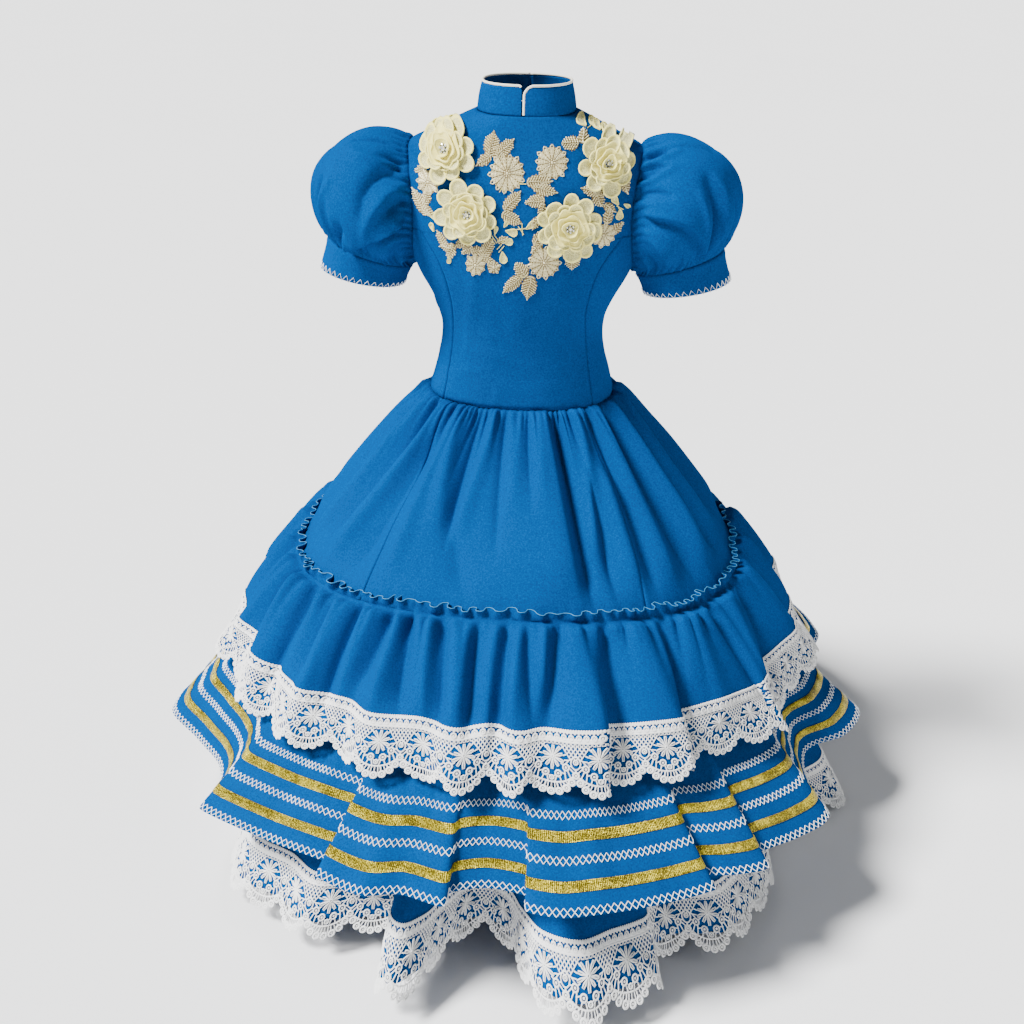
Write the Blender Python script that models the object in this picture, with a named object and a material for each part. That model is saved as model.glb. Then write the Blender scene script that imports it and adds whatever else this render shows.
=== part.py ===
"""Child's escaramuza dress, filled out as worn, with nobody in it.

Metres, +Z up, front towards -Y. The origin is the middle of the shoulder line.
"left" and "right" are the viewer's, looking at the front.
Angles go round the body in degrees: 0 is the front, 90 the right side, 180 the back.
"""
import math

import bmesh
import bpy
from mathutils import Vector
from mathutils.bvhtree import BVHTree

MM = 0.001

# Cloth and seams
CLOTH = 1.4 * MM
LACE = 1.3 * MM
RIBBON = 1.0 * MM
SEAM = 0.5 * MM
LACE_SEAM = 1.6 * MM
CUFF_SEAM = 0.9 * MM
RIBBON_LAY = 0.7 * MM

# Bodice: height, half_width, front, back in mm, from the waist seam up to the neck seam
BODY = (
    (-272, 103.5, 79, 72),
    (-240, 95.0, 77, 70),
    (-212, 89.5, 77, 70),
    (-186, 90.0, 79, 74),
    (-162, 99.0, 82, 77),
    (-137, 113.0, 84, 80),
    (-105, 127.0, 84, 81),
    (-70, 135.0, 82, 80),
    (-36, 135.0, 76, 74),
    (-13, 127.0, 69, 66),
    (-3, 120.0, 66, 63),
    (8, 98.0, 63, 59),
    (19, 75.0, 60, 55),
    (30, 51.2, 56, 51),
)
BODY_SQUARENESS = 0.87
ARMPIT = -132 * MM
SHOULDER_TIP = -3 * MM
ARMHOLE_MIDDLE = (ARMPIT + SHOULDER_TIP) / 2
ARMHOLE_HALF_HEIGHT = (SHOULDER_TIP - ARMPIT) / 2
ARMHOLE_HALF_DEPTH = 50 * MM

# Princess seams: height, distance from the middle in mm
PRINCESS = ((-272, 82), (-212, 73), (-162, 71), (-120, 82), (-85, 104))
PRINCESS_TOP = -85 * MM

# Stand collar
COLLAR_BASE = 30.5 * MM
COLLAR_TOP = 57.0 * MM
COLLAR_BASE_HALF = (51.2 * MM, 56 * MM, 51 * MM)
COLLAR_TOP_HALF = (46.0 * MM, 50 * MM, 46 * MM)
COLLAR_FRONT_SLIT = 4.0 * MM
COLLAR_CORNER = 8.0 * MM
BINDING_RADIUS = 1.2 * MM

# Sleeves, stated for the right one
CUFF_TOP = {"middle": (167, -121), "half_width": 46, "half_depth": 44, "drop": 15}
CUFF_HEM = {"middle": (177.5, -149), "half_width": 46, "half_depth": 43, "drop": 9}
PUFF_GATHERS = 9
PUFF_RINGS = 4

# Skirt levels: half width, half depth and height in front of each ring, and its squareness.
# The rings hang lower at the sides.
WAIST = -272 * MM
SIDE_DIP = 28 * MM
FRILL_SQUARENESS = 0.9
FRILL_RING = (258 * MM, 240 * MM, -438.5 * MM, FRILL_SQUARENESS)
TOP_GATHERS = 36
TOP_LEVELS = (0.0, 0.10, 0.38, 1.0)
TOP_SEAM_ANGLE = 30.0
TOP_SEAM_AT_WAIST = 40.0
TOP_SEAM_AT_FRILL = 34.0
TOP_SLANT = 220 * MM
TOP_GATHER_DEPTHS = (2.6 * MM, 4.2 * MM, 2.2 * MM, 0.0)
TOP_SWAY = 3.2 * MM
STITCH_STEP = 2.4 * MM
FRILL_HEIGHT = 14 * MM
FRILL_LEAN = 5.6 * MM
FRILL_WAVE = 5.0 * MM
UPPER_HEM = -569 * MM
UPPER_SWELL = 9 * MM
UPPER_SLANT = 178 * MM
UPPER_GATHER_DEPTHS = (0.0, 0.9 * MM, 2.6 * MM, 0.0)
UPPER_LACE_FROM = 0.59
UPPER_GATHER_LEVEL = 0.26
UNDER_TOP = (256.2 * MM, 238.2 * MM, -439.7 * MM, FRILL_SQUARENESS)
UNDER_MIDDLE = (290 * MM, 279.7 * MM, -520 * MM)
UNDER_BOTTOM = (300 * MM, 292 * MM, -546 * MM)
RIBBONED_TOP = (298.2 * MM, 289.4 * MM, -536 * MM)
RIBBONED_HEM = -649 * MM
LOWER_TOP = (300 * MM, 292 * MM, -546.8 * MM)
LOWER_HEM = -772 * MM
LOWER_SLANT = 240 * MM
LOWER_LACE_FROM = 0.70
LACE_REPEAT = 51 * MM
LACE_HOLE_ROWS = (14 * MM, 9 * MM)
LACE_SCALLOP = 9 * MM

# Gold ribbons on the ribboned flounce, as shares of its length from top to hem
RIBBON_BANDS = {"ribbon_gold_upper": (0.560, 0.620), "ribbon_gold_lower": (0.818, 0.878)}

# Folds at each flounce's lower edge: angle round the body, distance from the axis in mm.
# An angle that steps back is cloth tucked behind the crest beside it.
UPPER_FOLDS = (
    (-84, 351), (-76, 371), (-67, 350), (-53, 366), (-47, 349), (-38, 368), (-34, 353),
    (-28, 343), (-22, 364), (-11.5, 347), (-6, 366), (0, 345), (4, 363), (8, 351),
    (14, 363), (19, 367), (18.4, 350), (26, 356), (34.5, 366), (34.4, 348), (44, 346),
    (58, 370), (58.5, 350), (73, 347), (86, 372), (98, 352), (112, 370), (126, 350),
    (141, 369), (155, 349), (170, 368), (184, 350), (198, 369), (213, 349), (228, 370),
    (242, 351), (254, 369), (265, 353),
)
RIBBONED_FOLDS = (
    (-85, 408), (-76, 429), (-66, 402), (-56, 388), (-49, 412), (-47, 436), (-35, 417),
    (-25, 409), (-21.5, 411), (-23, 430), (-16, 437), (-11, 424), (-5, 431), (-4.6, 412),
    (0.5, 400), (6.6, 411), (5.8, 429), (11, 439), (21, 437), (31.5, 437), (31.6, 416),
    (36, 428), (41, 437), (41.5, 415), (50, 426), (57, 431), (62, 396), (72, 370),
    (80, 412), (88, 429), (101, 388), (112, 434), (126, 432), (139, 394), (151, 433),
    (165, 434), (177, 396), (189, 431), (202, 435), (215, 392), (228, 432), (242, 434),
    (254, 392), (265, 396),
)
LOWER_FOLDS = (
    (-85, 386), (-74, 378), (-65, 349), (-55, 385), (-45, 414), (-36, 404), (-29, 414),
    (-23.5, 384), (-17.5, 366), (-14.2, 380), (-14.2, 436), (-11.8, 456), (-9, 430),
    (-7.2, 380), (-2.5, 339), (3, 356), (6, 400), (8.5, 444), (13.5, 466), (18, 452),
    (24.5, 440), (25.5, 406), (31, 394), (38, 415), (46, 402), (55, 384), (66, 348),
    (75, 376), (84, 428), (95, 392), (104, 352), (114, 404), (123, 446), (132, 400),
    (143, 348), (153, 410), (162, 450), (170, 396), (180, 349), (190, 408), (200, 446),
    (210, 392), (221, 350), (231, 410), (241, 448), (251, 388), (262, 350), (270, 366),
)

# Large cloth flowers on the chest: name, across, height, radius in mm, petals
FLOWERS = (
    ("flower_upper_left", -77, -4, 30, 8),
    ("flower_lower_left", -50, -62, 32, 8),
    ("flower_upper_right", 85, -14, 28, 8),
    ("flower_lower_right", 54, -74, 33, 8),
)

# Beaded flowers: across, height, radius in mm, petals
BEADED_FLOWERS = (
    (-13, -21, 17, 8),
    (31, -12, 17, 8),
    (24, -113, 14, 8),
    (-43, -112, 11, 6),
    (-24, -117, 7.5, 5),
    (-99, -41, 10, 6),
)

# Beaded leaves: across, height, length, width in mm, turn in degrees
LEAVES = (
    (-30, 7, 20, 12, 76),
    (-13, 6, 17, 10, 44),
    (-39, -12, 14, 9, 30),
    (12, -36, 18, 10, 165),
    (-6, -49, 22, 12, 50),
    (-5, -66, 18, 10, -20),
    (11, -51, 16, 9, 60),
    (3, -113, 11, 9, 120),
    (-7, -130, 26, 12, 46),
    (10, -135, 21, 12, 85),
    (53, -114, 13, 9, 20),
    (-103, -65, 28, 11, 120),
    (-78, -92, 20, 9, 130),
    (53, 12, 13, 9, 170),
    (80, -48, 9, 7, 150),
    (94, -80, 18, 9, 45),
)

# Steps of a flower from its back to its middle: size share, lift off the cloth in mm, lobe
FLOWER_STEPS = (
    (0.55, 0.9, 0.0), (1.0, 2.0, 0.2), (0.62, 3.2, 0.14), (0.60, 6.0, 0.2),
    (0.26, 4.6, 0.1),
)
BEADED_STEPS = ((1.0, 0.7, 0.14), (0.95, 1.8, 0.14), (0.3, 2.6, 0.0))
LEAF_STEPS = ((0.7, 1.0), (1.7, 0.92))

# Colours as seen: red, green, blue, then roughness
BLUE_CLOTH = (0.004, 0.125, 0.470, 0.62)
WHITE_LACE = (0.86, 0.86, 0.84, 0.80)
GOLD_RIBBON = (0.50, 0.37, 0.09, 0.38)
CREAM_CLOTH = (0.87, 0.83, 0.62, 0.75)
CHAMPAGNE_BEAD = (0.62, 0.53, 0.36, 0.45)
CREAM_BINDING = (0.85, 0.81, 0.68, 0.70)


def clear_scene():
    for existing in list(bpy.data.objects):
        bpy.data.objects.remove(existing, do_unlink=True)


def make_material(name, finish, metallic=0.0):
    material = bpy.data.materials.new(name)
    material.use_nodes = True
    shader = material.node_tree.nodes["Principled BSDF"]
    shader.inputs["Base Color"].default_value = (*finish[:3], 1.0)
    shader.inputs["Roughness"].default_value = finish[3]
    shader.inputs["Metallic"].default_value = metallic
    return material


def read_rows(table, at, column):
    """Smooth value of one column of a table whose first column is a height in mm."""
    rows = sorted(table)
    heights = [row[0] * MM for row in rows]
    values = [row[column] * MM for row in rows]
    at = min(max(at, heights[0]), heights[-1])
    last = len(rows) - 1
    index = next((i for i in range(last) if at <= heights[i + 1]), last - 1)

    def slope(i):
        before, after = max(i - 1, 0), min(i + 1, last)
        return (values[after] - values[before]) / (heights[after] - heights[before])

    span = heights[index + 1] - heights[index]
    t = (at - heights[index]) / span
    rise = t * t * (3 - 2 * t)
    start = t * (1 - t) ** 2 * span * slope(index)
    end = -t * t * (1 - t) * span * slope(index + 1)
    return values[index] * (1 - rise) + values[index + 1] * rise + start + end


def signed_power(value, power):
    return math.copysign(abs(value) ** power, value)


def body_point(angle, height):
    """Outer face of the bodice at an angle in degrees."""
    turn = math.radians(angle)
    depth = read_rows(BODY, height, 2 if math.cos(turn) > 0 else 3)
    across = read_rows(BODY, height, 1) * signed_power(math.sin(turn), BODY_SQUARENESS)
    return Vector((across, -depth * signed_power(math.cos(turn), BODY_SQUARENESS), height))


def princess_angle(height):
    share = read_rows(PRINCESS, height, 1) / read_rows(BODY, height, 1)
    return math.degrees(math.asin(min(share, 1.0) ** (1 / BODY_SQUARENESS)))


def armhole_angle(height, back=False):
    """Angle of the armhole's edge at a height, 90 where there is no armhole."""
    rise = (height - ARMHOLE_MIDDLE) / ARMHOLE_HALF_HEIGHT
    if abs(rise) >= 1:
        return 90.0
    deep = ARMHOLE_HALF_DEPTH * math.sqrt(1 - rise * rise)
    share = deep / read_rows(BODY, height, 3 if back else 2)
    angle = math.degrees(math.acos(min(share, 1.0) ** (1 / BODY_SQUARENESS)))
    return 180 - angle if back else angle


def armhole_point(turn):
    """Point round the right armhole: 0 is its top and 90 its front."""
    height = ARMHOLE_MIDDLE + ARMHOLE_HALF_HEIGHT * math.cos(math.radians(turn))
    angle = armhole_angle(height, back=turn % 360 > 180)
    return body_point(angle, height)


def ring_point(ring, angle):
    half_width, half_depth, height, squareness = (*ring, 1.0)[:4]
    across, ahead = math.sin(math.radians(angle)), math.cos(math.radians(angle))
    return Vector((half_width * signed_power(across, squareness),
                   -half_depth * signed_power(ahead, squareness),
                   height - SIDE_DIP * across * across))


def outward(point):
    return Vector((point.x, point.y, 0)).normalized()


def add_object(name, mesh_builder, material, wall=None, smooth=True):
    mesh = bpy.data.meshes.new(name)
    mesh_builder.to_mesh(mesh)
    mesh_builder.free()
    mesh.materials.append(material)
    piece = bpy.data.objects.new(name, mesh)
    bpy.context.collection.objects.link(piece)
    if wall:
        thickness = piece.modifiers.new("wall", "SOLIDIFY")
        thickness.thickness = wall
        thickness.offset = -1.0
        thickness.use_rim = True
    if smooth:
        mesh.shade_smooth()
        mesh.set_sharp_from_angle(angle=math.radians(50))
    return piece


def sheet_mesh(point, columns, rows, closed=False, skip=()):
    """A grid whose corner (i, j) lies at point(i, j), welded where it closes on itself."""
    grid = bmesh.new()
    bmesh.ops.create_grid(grid, x_segments=columns, y_segments=rows, size=1.0)
    for vertex in grid.verts:
        across = round((vertex.co.x + 1) / 2 * columns)
        down = round((vertex.co.y + 1) / 2 * rows)
        vertex.co = Vector((across, down, 0))
    if skip:
        unwanted = [face for face in grid.faces
                    if tuple(int(value) for value in face.calc_center_median()[:2]) in skip]
        bmesh.ops.delete(grid, geom=unwanted, context="FACES")
    for vertex in grid.verts:
        across = round(vertex.co.x)
        if closed:
            across %= columns
        vertex.co = point(across, round(vertex.co.y))
    if closed:
        bmesh.ops.remove_doubles(grid, verts=grid.verts, dist=0.01 * MM)
    return grid


def face_outwards(grid, outer):
    """Turns a sheet over if most of it faces the wrong way. outer gives a point inside."""
    grid.normal_update()
    side = sum((face.calc_center_median() - outer(face)).dot(face.normal) * face.calc_area()
               for face in grid.faces)
    if side < 0:
        bmesh.ops.reverse_faces(grid, faces=grid.faces)


def body_axis(face):
    return Vector((0, 0, face.calc_center_median().z))


# Bodice

def bodice_panel(name, material, heights, low, high, columns):
    """A panel between two edges, each an angle for every height."""

    def point(i, j):
        height = heights[j]
        gap = math.degrees(SEAM / 2 / 0.1)
        start, end = low(height) + gap, high(height) - gap
        return body_point(start + (end - start) * i / columns, height)

    grid = sheet_mesh(point, columns, len(heights) - 1)
    face_outwards(grid, body_axis)
    return add_object(name, grid, material, CLOTH)


def make_bodice(cloth):
    heights = [row[0] * MM for row in BODY]

    def front_edge(height):
        return princess_angle(height) if height < PRINCESS_TOP else armhole_angle(height)

    panels = [bodice_panel("bodice_front", cloth, heights,
                           lambda z: -front_edge(z), front_edge, 8)]
    side_heights = [height for height in heights if height < PRINCESS_TOP]
    for side, sign in (("left", -1), ("right", 1)):
        edges = [princess_angle, armhole_angle]
        if sign < 0:
            edges = [lambda z: -armhole_angle(z), lambda z: -princess_angle(z)]
        panels.append(
            bodice_panel(f"bodice_side_front_{side}", cloth, side_heights, *edges, 3))
        back = [lambda z: armhole_angle(z, back=True), lambda z: 180.0]
        if sign < 0:
            back = [lambda z: -180.0, lambda z: -armhole_angle(z, back=True)]
        bodice_panel(f"bodice_back_{side}", cloth, heights, *back, 5)
    return panels


# Collar

def collar_point(angle, share):
    turn = math.radians(angle)
    wide, front, back = (low + (high - low) * share
                         for low, high in zip(COLLAR_BASE_HALF, COLLAR_TOP_HALF))
    deep = front if math.cos(turn) > 0 else back
    across = wide * signed_power(math.sin(turn), BODY_SQUARENESS)
    height = COLLAR_BASE + (COLLAR_TOP - COLLAR_BASE) * share
    return Vector((across, -deep * signed_power(math.cos(turn), BODY_SQUARENESS), height))


def collar_span():
    slit = math.degrees(math.asin((COLLAR_FRONT_SLIT / 2 / COLLAR_BASE_HALF[0])
                                  ** (1 / BODY_SQUARENESS)))
    closing = math.degrees(SEAM / 2 / COLLAR_BASE_HALF[2])
    return slit, 180 - closing


def collar_top_share(angle, side):
    """The collar's corner at the slit is rounded, more so on the right half."""
    slit, _ = collar_span()
    along = math.radians(angle - slit) * COLLAR_TOP_HALF[1]
    corner = COLLAR_CORNER if side > 0 else COLLAR_CORNER * 0.4
    missing = max(0.0, 1 - along / corner)
    drop = corner * (1 - math.sqrt(1 - missing * missing))
    return 1 - drop / (COLLAR_TOP - COLLAR_BASE)


def collar_angles(count):
    slit, closing = collar_span()
    return [slit + (closing - slit) * (i / count) ** 1.6 for i in range(count + 1)]


def make_collar(cloth, binding):
    angles = collar_angles(9)
    for side, sign in (("left", -1), ("right", 1)):
        def point(i, j):
            return collar_point(sign * angles[i], collar_top_share(angles[i], sign) * j)

        grid = sheet_mesh(point, len(angles) - 1, 1)
        face_outwards(grid, body_axis)
        add_object(f"collar_{side}", grid, cloth, CLOTH)
        make_binding(f"collar_binding_{side}", sign, angles, binding)


def make_binding(name, sign, angles, material):
    """Piping along a half collar's top edge, on the right half down the slit as well."""
    lift = BINDING_RADIUS + 0.35 * MM
    inward = Vector((-sign, 0, 0))
    route = []
    if sign > 0:
        slit_top = collar_top_share(angles[0], sign)
        route = [collar_point(angles[0], slit_top * share) + inward * lift
                 for share in (0.06, 0.5, 0.85)]
    for angle in angles[0 if sign > 0 else 1:]:
        edge = collar_point(sign * angle, collar_top_share(angle, sign))
        flat = Vector((edge.x, edge.y, 0)).normalized() * CLOTH / 2
        past = math.radians(angle - angles[0]) * COLLAR_TOP_HALF[1] / COLLAR_CORNER
        corner = max(0.0, 1 - past) if sign > 0 else 0.0
        lean = (Vector((0, 0, 1)) * (1 - corner) + inward * corner).normalized()
        route.append(edge - flat + lean * lift)
    sides = 5
    tube = bmesh.new()
    rings = []
    for index, middle in enumerate(route):
        before, after = route[max(index - 1, 0)], route[min(index + 1, len(route) - 1)]
        along = (after - before).normalized()
        first = along.cross(Vector((middle.x, middle.y, 0)).normalized()).normalized()
        second = along.cross(first)
        rings.append([tube.verts.new(middle + BINDING_RADIUS * (
            first * math.cos(math.tau * k / sides) + second * math.sin(math.tau * k / sides)))
            for k in range(sides)])
    for low, high in zip(rings, rings[1:]):
        for k in range(sides):
            follow = (k + 1) % sides
            tube.faces.new((low[k], low[follow], high[follow], high[k]))
    tube.faces.new(rings[0])
    tube.faces.new(rings[-1])
    bmesh.ops.recalc_face_normals(tube, faces=tube.faces)
    add_object(name, tube, material)


# Sleeves

def cuff_point(ring, turn):
    """Point round a cuff ring of the right sleeve: 0 is outermost and 90 the front."""
    around = math.radians(turn)
    middle_x, middle_z = ring["middle"]
    out = math.cos(around)
    return Vector((middle_x + ring["half_width"] * out,
                   -ring["half_depth"] * math.sin(around),
                   middle_z + ring["drop"] * out)) * MM


def puff_point(turn, share, ripple):
    start = armhole_point(turn) + Vector((1.0 * MM, 0, 0))
    end = cuff_point(CUFF_TOP, turn)
    around = math.radians(turn)
    top = (1 + math.cos(around)) / 2
    side = math.sin(around)
    swell_start = start + Vector((6 + 38 * top, -34 * side, 1 + 33 * top)) * MM
    swell_end = end + Vector((1 + 43 * top, -36 * side, 5 + 79 * top)) * MM
    weights = ((1 - share) ** 3, 3 * share * (1 - share) ** 2,
               3 * share * share * (1 - share), share ** 3)
    point = Vector((0, 0, 0))
    for weight, corner in zip(weights, (start, swell_start, swell_end, end)):
        point += corner * weight
    middle = start.lerp(end, share)
    bulge = point - middle
    if bulge.length > 1 * MM:
        point += bulge.normalized() * ripple * min(1.0, bulge.length / (12 * MM))
    return point


def make_sleeves(cloth):
    columns = PUFF_GATHERS * 3
    for side, sign in (("left", -1), ("right", 1)):
        def mirrored(point):
            return Vector((sign * point.x, point.y, point.z))

        def puff(i, j):
            share = j / PUFF_RINGS
            depth = (3.4 - 1.6 * share + 0.7 * math.sin(2.1 * (i // 3))) * MM
            ripple = depth if i % 3 == 0 else -depth / 2
            if j in (0, PUFF_RINGS):
                ripple = 0.0
            return mirrored(puff_point(360 * i / columns, share, ripple))

        grid = sheet_mesh(puff, columns, PUFF_RINGS, closed=True)
        face_outwards(grid, lambda face: Vector((sign * 155, 0, -75)) * MM)
        add_object(f"sleeve_puff_{side}", grid, cloth, CLOTH)

        def cuff(i, j):
            ring = CUFF_HEM if j else CUFF_TOP
            point = cuff_point(ring, 360 * i / columns)
            return mirrored(point - Vector((0, 0, 0 if j else CUFF_SEAM)))

        grid = sheet_mesh(cuff, columns, 1, closed=True)
        face_outwards(grid, lambda face: Vector((sign * 171, 0, -134)) * MM)
        add_object(f"sleeve_cuff_{side}", grid, cloth, CLOTH)


# Skirt

class Flounce:
    """A gathered strip between a top ring and a folded lower edge, straight between them."""

    def __init__(self, folds, top_ring, bottom, swell=0.0):
        self.folds = folds
        self.count = len(folds)
        self.top_ring = top_ring
        self.swell = swell
        self.edge = [ring_point((radius * MM, radius * MM, bottom), angle)
                     for angle, radius in folds]
        self.top_angles = [self.eased_angle(index) for index in range(self.count)]

    def eased_angle(self, index):
        """Angle on the top ring, eased over the neighbouring folds so that it never steps back."""
        weights = ((-2, 1), (-1, 3), (0, 4), (1, 3), (2, 1))
        total = 0.0
        for offset, weight in weights:
            turns, place = divmod(index + offset, self.count)
            total += weight * (self.folds[place][0] + 360 * turns)
        return total / sum(weight for _, weight in weights)

    def edge_point(self, place):
        """Smooth curve through the folds; place counts folds and may be a fraction."""
        index = math.floor(place)
        t = place - index
        before, start, end, after = (self.edge[(index + k) % self.count] for k in (-1, 0, 1, 2))
        length = (end - start).length
        leave = (end - before).normalized() * min(length, (start - before).length)
        arrive = (after - start).normalized() * min(length, (after - end).length)
        rise = t * t * (3 - 2 * t)
        return (start * (1 - rise) + end * rise
                + leave * (t * (1 - t) ** 2) - arrive * (t * t * (1 - t)))

    def top_angle(self, place):
        index = math.floor(place)
        turns, start = divmod(index, self.count)
        next_turns, end = divmod(index + 1, self.count)
        low = self.top_angles[start] + 360 * turns
        high = self.top_angles[end] + 360 * next_turns
        return low + (high - low) * (place - index)

    def point(self, place, share):
        top = ring_point(self.top_ring, self.top_angle(place))
        point = top.lerp(self.edge_point(place), share)
        return point + outward(point) * self.swell * 4 * max(share, 0) * (1 - share)

    def even_places(self, count, samples=8):
        """Places that share the lower edge's length evenly, with that length."""
        steps = [index / samples for index in range(self.count * samples + 1)]
        lengths = [0.0]
        for low, high in zip(steps, steps[1:]):
            lengths.append(lengths[-1] + (self.edge_point(high) - self.edge_point(low)).length)
        total = lengths[-1]
        count = count or round(total / LACE_REPEAT)
        places = []
        index = 0
        for number in range(count + 1):
            wanted = total * number / count
            while index < len(steps) - 2 and lengths[index + 1] < wanted:
                index += 1
            span = lengths[index + 1] - lengths[index]
            places.append(steps[index] + (wanted - lengths[index]) / span / samples)
        return places, total


def gather_ripple(index, per_gather, depth):
    crest = depth * (0.8 + 0.2 * math.sin(2.7 * (index // per_gather)))
    return crest if index % per_gather == 0 else -crest / (per_gather - 1)


def skirt_top_point(angle, share, ripple):
    foot = ring_point(FRILL_RING, angle)
    point = body_point(angle, WAIST).lerp(foot, share ** 0.94)
    point.z = WAIST - CUFF_SEAM + (foot.z - WAIST + CUFF_SEAM) * share
    folds = math.sin(math.radians(angle * 11 + 40)) + 0.6 * math.sin(math.radians(angle * 7))
    soft = TOP_SWAY * folds * math.sin(math.pi * min(share * 0.8, 0.5)) * (1 - share ** 4)
    return point + outward(point) * (ripple + soft)


def leaned_angle(angle, share):
    """Moves the panel seams from their even place to where they are at this level."""
    seam = TOP_SEAM_AT_WAIST + (TOP_SEAM_AT_FRILL - TOP_SEAM_AT_WAIST) * share
    if abs(angle) <= TOP_SEAM_ANGLE:
        return angle * seam / TOP_SEAM_ANGLE
    rest = (abs(angle) - TOP_SEAM_ANGLE) / (180 - TOP_SEAM_ANGLE)
    return math.copysign(seam + rest * (180 - seam), angle)


def make_skirt_top(cloth):
    columns = TOP_GATHERS * 3
    step = 360 / columns
    seam = round(TOP_SEAM_ANGLE / step)
    panels = {"skirt_top_front": (-seam, seam), "skirt_top_right": (seam, columns // 2),
              "skirt_top_left": (-columns // 2, -seam)}
    for name, (first, last) in panels.items():
        def point(i, j):
            share = TOP_LEVELS[j] if j < len(TOP_LEVELS) - 1 else 1 - SEAM / TOP_SLANT
            angle = leaned_angle((first + i) * step, share)
            gap = SEAM / 2 / (BODY[0][1] * MM * (1 - share) + FRILL_RING[0] * share)
            gap = math.degrees(gap * 1.4)
            if i == 0:
                angle += gap
            if i == last - first:
                angle -= gap
            index = first + i + columns + 2
            return skirt_top_point(angle, share, gather_ripple(index, 3, TOP_GATHER_DEPTHS[j]))

        grid = sheet_mesh(point, last - first, len(TOP_LEVELS) - 1)
        face_outwards(grid, body_axis)
        add_object(name, grid, cloth, CLOTH)


def make_upper_flounce(cloth, lace):
    stitch = (FRILL_RING[0] + STITCH_STEP, FRILL_RING[1] + STITCH_STEP, *FRILL_RING[2:])
    flounce = Flounce(UPPER_FOLDS, stitch, UPPER_HEM, swell=UPPER_SWELL)
    per_fold = 3
    columns = flounce.count * per_fold
    frill_rise = (FRILL_RING[2] - WAIST) / (FRILL_RING[0] - BODY[0][1] * MM)

    def point(i, j):
        place = i / per_fold
        if j == 0:
            foot = ring_point(stitch, flounce.top_angle(place))
            up = Vector((0, 0, 1)) - outward(foot) / abs(frill_rise)
            wave = gather_ripple(i, 3, FRILL_WAVE) + FRILL_LEAN
            return foot + up.normalized() * FRILL_HEIGHT + outward(foot) * wave
        share = (0, 0, UPPER_GATHER_LEVEL, UPPER_LACE_FROM - LACE_SEAM / UPPER_SLANT)[j]
        ripple = gather_ripple(i + 1, 3, UPPER_GATHER_DEPTHS[j])
        base = flounce.point(place, share)
        return base + outward(base) * ripple

    grid = sheet_mesh(point, columns, 3, closed=True)
    face_outwards(grid, body_axis)
    add_object("flounce_upper", grid, cloth, CLOTH)
    make_lace("lace_upper", flounce, UPPER_LACE_FROM, lace)


def make_lace(name, flounce, start, material):
    """Scalloped lace below a flounce, its largest gaps cut through, in a front and a back."""
    places, length = flounce.even_places(None)
    repeats = len(places) - 1
    width = (flounce.point(0, 1) - flounce.point(0, start)).length
    per_mm = (1 - start) / width
    levels = (start, 1 - LACE_HOLE_ROWS[0] * per_mm, 1 - LACE_HOLE_ROWS[1] * per_mm, 1)
    across = ((0, 0, 1), (0, 0.45, 0.55), (0, 0.45, 0.55), (0, 0.27, 0.73))
    half = repeats // 2
    spans = {f"{name}_front": (0, half), f"{name}_back": (half, repeats)}
    for part, (first, last) in spans.items():
        count = last - first

        def point(i, j):
            repeat, column = divmod(i, 3)
            low = places[first + repeat]
            high = places[min(first + repeat + 1, repeats)]
            place = low + (high - low) * across[j][column]
            share = levels[j]
            if j == 3 and column == 0:
                share -= LACE_SCALLOP * per_mm
            gap = LACE_SEAM / 2 / LACE_REPEAT
            if i == 0 or (j == 0 and i == 1):
                place += gap * (places[first + 1] - places[first])
            if i == count * 3 or (j == 0 and i == count * 3 - 1):
                place -= gap * (places[last] - places[last - 1])
            return flounce.point(place, share)

        holes = {(repeat * 3 + 1, 1) for repeat in range(count)}
        grid = sheet_mesh(point, count * 3, 3, skip=holes)
        bmesh.ops.remove_doubles(grid, verts=grid.verts, dist=0.01 * MM)
        face_outwards(grid, body_axis)
        add_object(part, grid, material, LACE)


def make_under_layer(cloth):
    columns = 44

    rings = (UNDER_TOP, UNDER_MIDDLE, UNDER_BOTTOM)

    def point(i, j):
        return ring_point(rings[j], 360 * i / columns)

    grid = sheet_mesh(point, columns, len(rings) - 1, closed=True)
    face_outwards(grid, body_axis)
    add_object("skirt_under", grid, cloth, CLOTH)


def make_ribboned_flounce(cloth, gold):
    flounce = Flounce(RIBBONED_FOLDS, RIBBONED_TOP, RIBBONED_HEM)
    levels = sorted({0.0, 1.0, *(edge for band in RIBBON_BANDS.values() for edge in band)})
    columns = flounce.count * 2

    def wall_point(i, j):
        return flounce.point(i / 2, levels[j])

    grid = sheet_mesh(wall_point, columns, len(levels) - 1, closed=True)
    face_outwards(grid, body_axis)
    grid.normal_update()
    grid.verts.ensure_lookup_table()
    normals = {tuple(round(value / (0.01 * MM)) for value in vertex.co): vertex.normal.copy()
               for vertex in grid.verts}
    add_object("flounce_ribboned", grid, cloth, CLOTH)
    for name, band in RIBBON_BANDS.items():
        def ribbon_point(i, j):
            base = flounce.point(i / 2, band[j])
            facing = normals[tuple(round(value / (0.01 * MM)) for value in base)]
            return base + facing * (RIBBON_LAY + RIBBON)

        grid = sheet_mesh(ribbon_point, columns, 1, closed=True)
        face_outwards(grid, body_axis)
        add_object(name, grid, gold, RIBBON)


def make_lower_flounce(cloth, lace):
    flounce = Flounce(LOWER_FOLDS, LOWER_TOP, LOWER_HEM)
    columns = flounce.count * 2
    levels = (0.0, 0.38, LOWER_LACE_FROM - LACE_SEAM / LOWER_SLANT)

    def point(i, j):
        return flounce.point(i / 2, levels[j])

    grid = sheet_mesh(point, columns, 2, closed=True)
    face_outwards(grid, body_axis)
    add_object("flounce_lower", grid, cloth, CLOTH)
    make_lace("lace_lower", flounce, LOWER_LACE_FROM, lace)


# Trim on the chest

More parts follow.
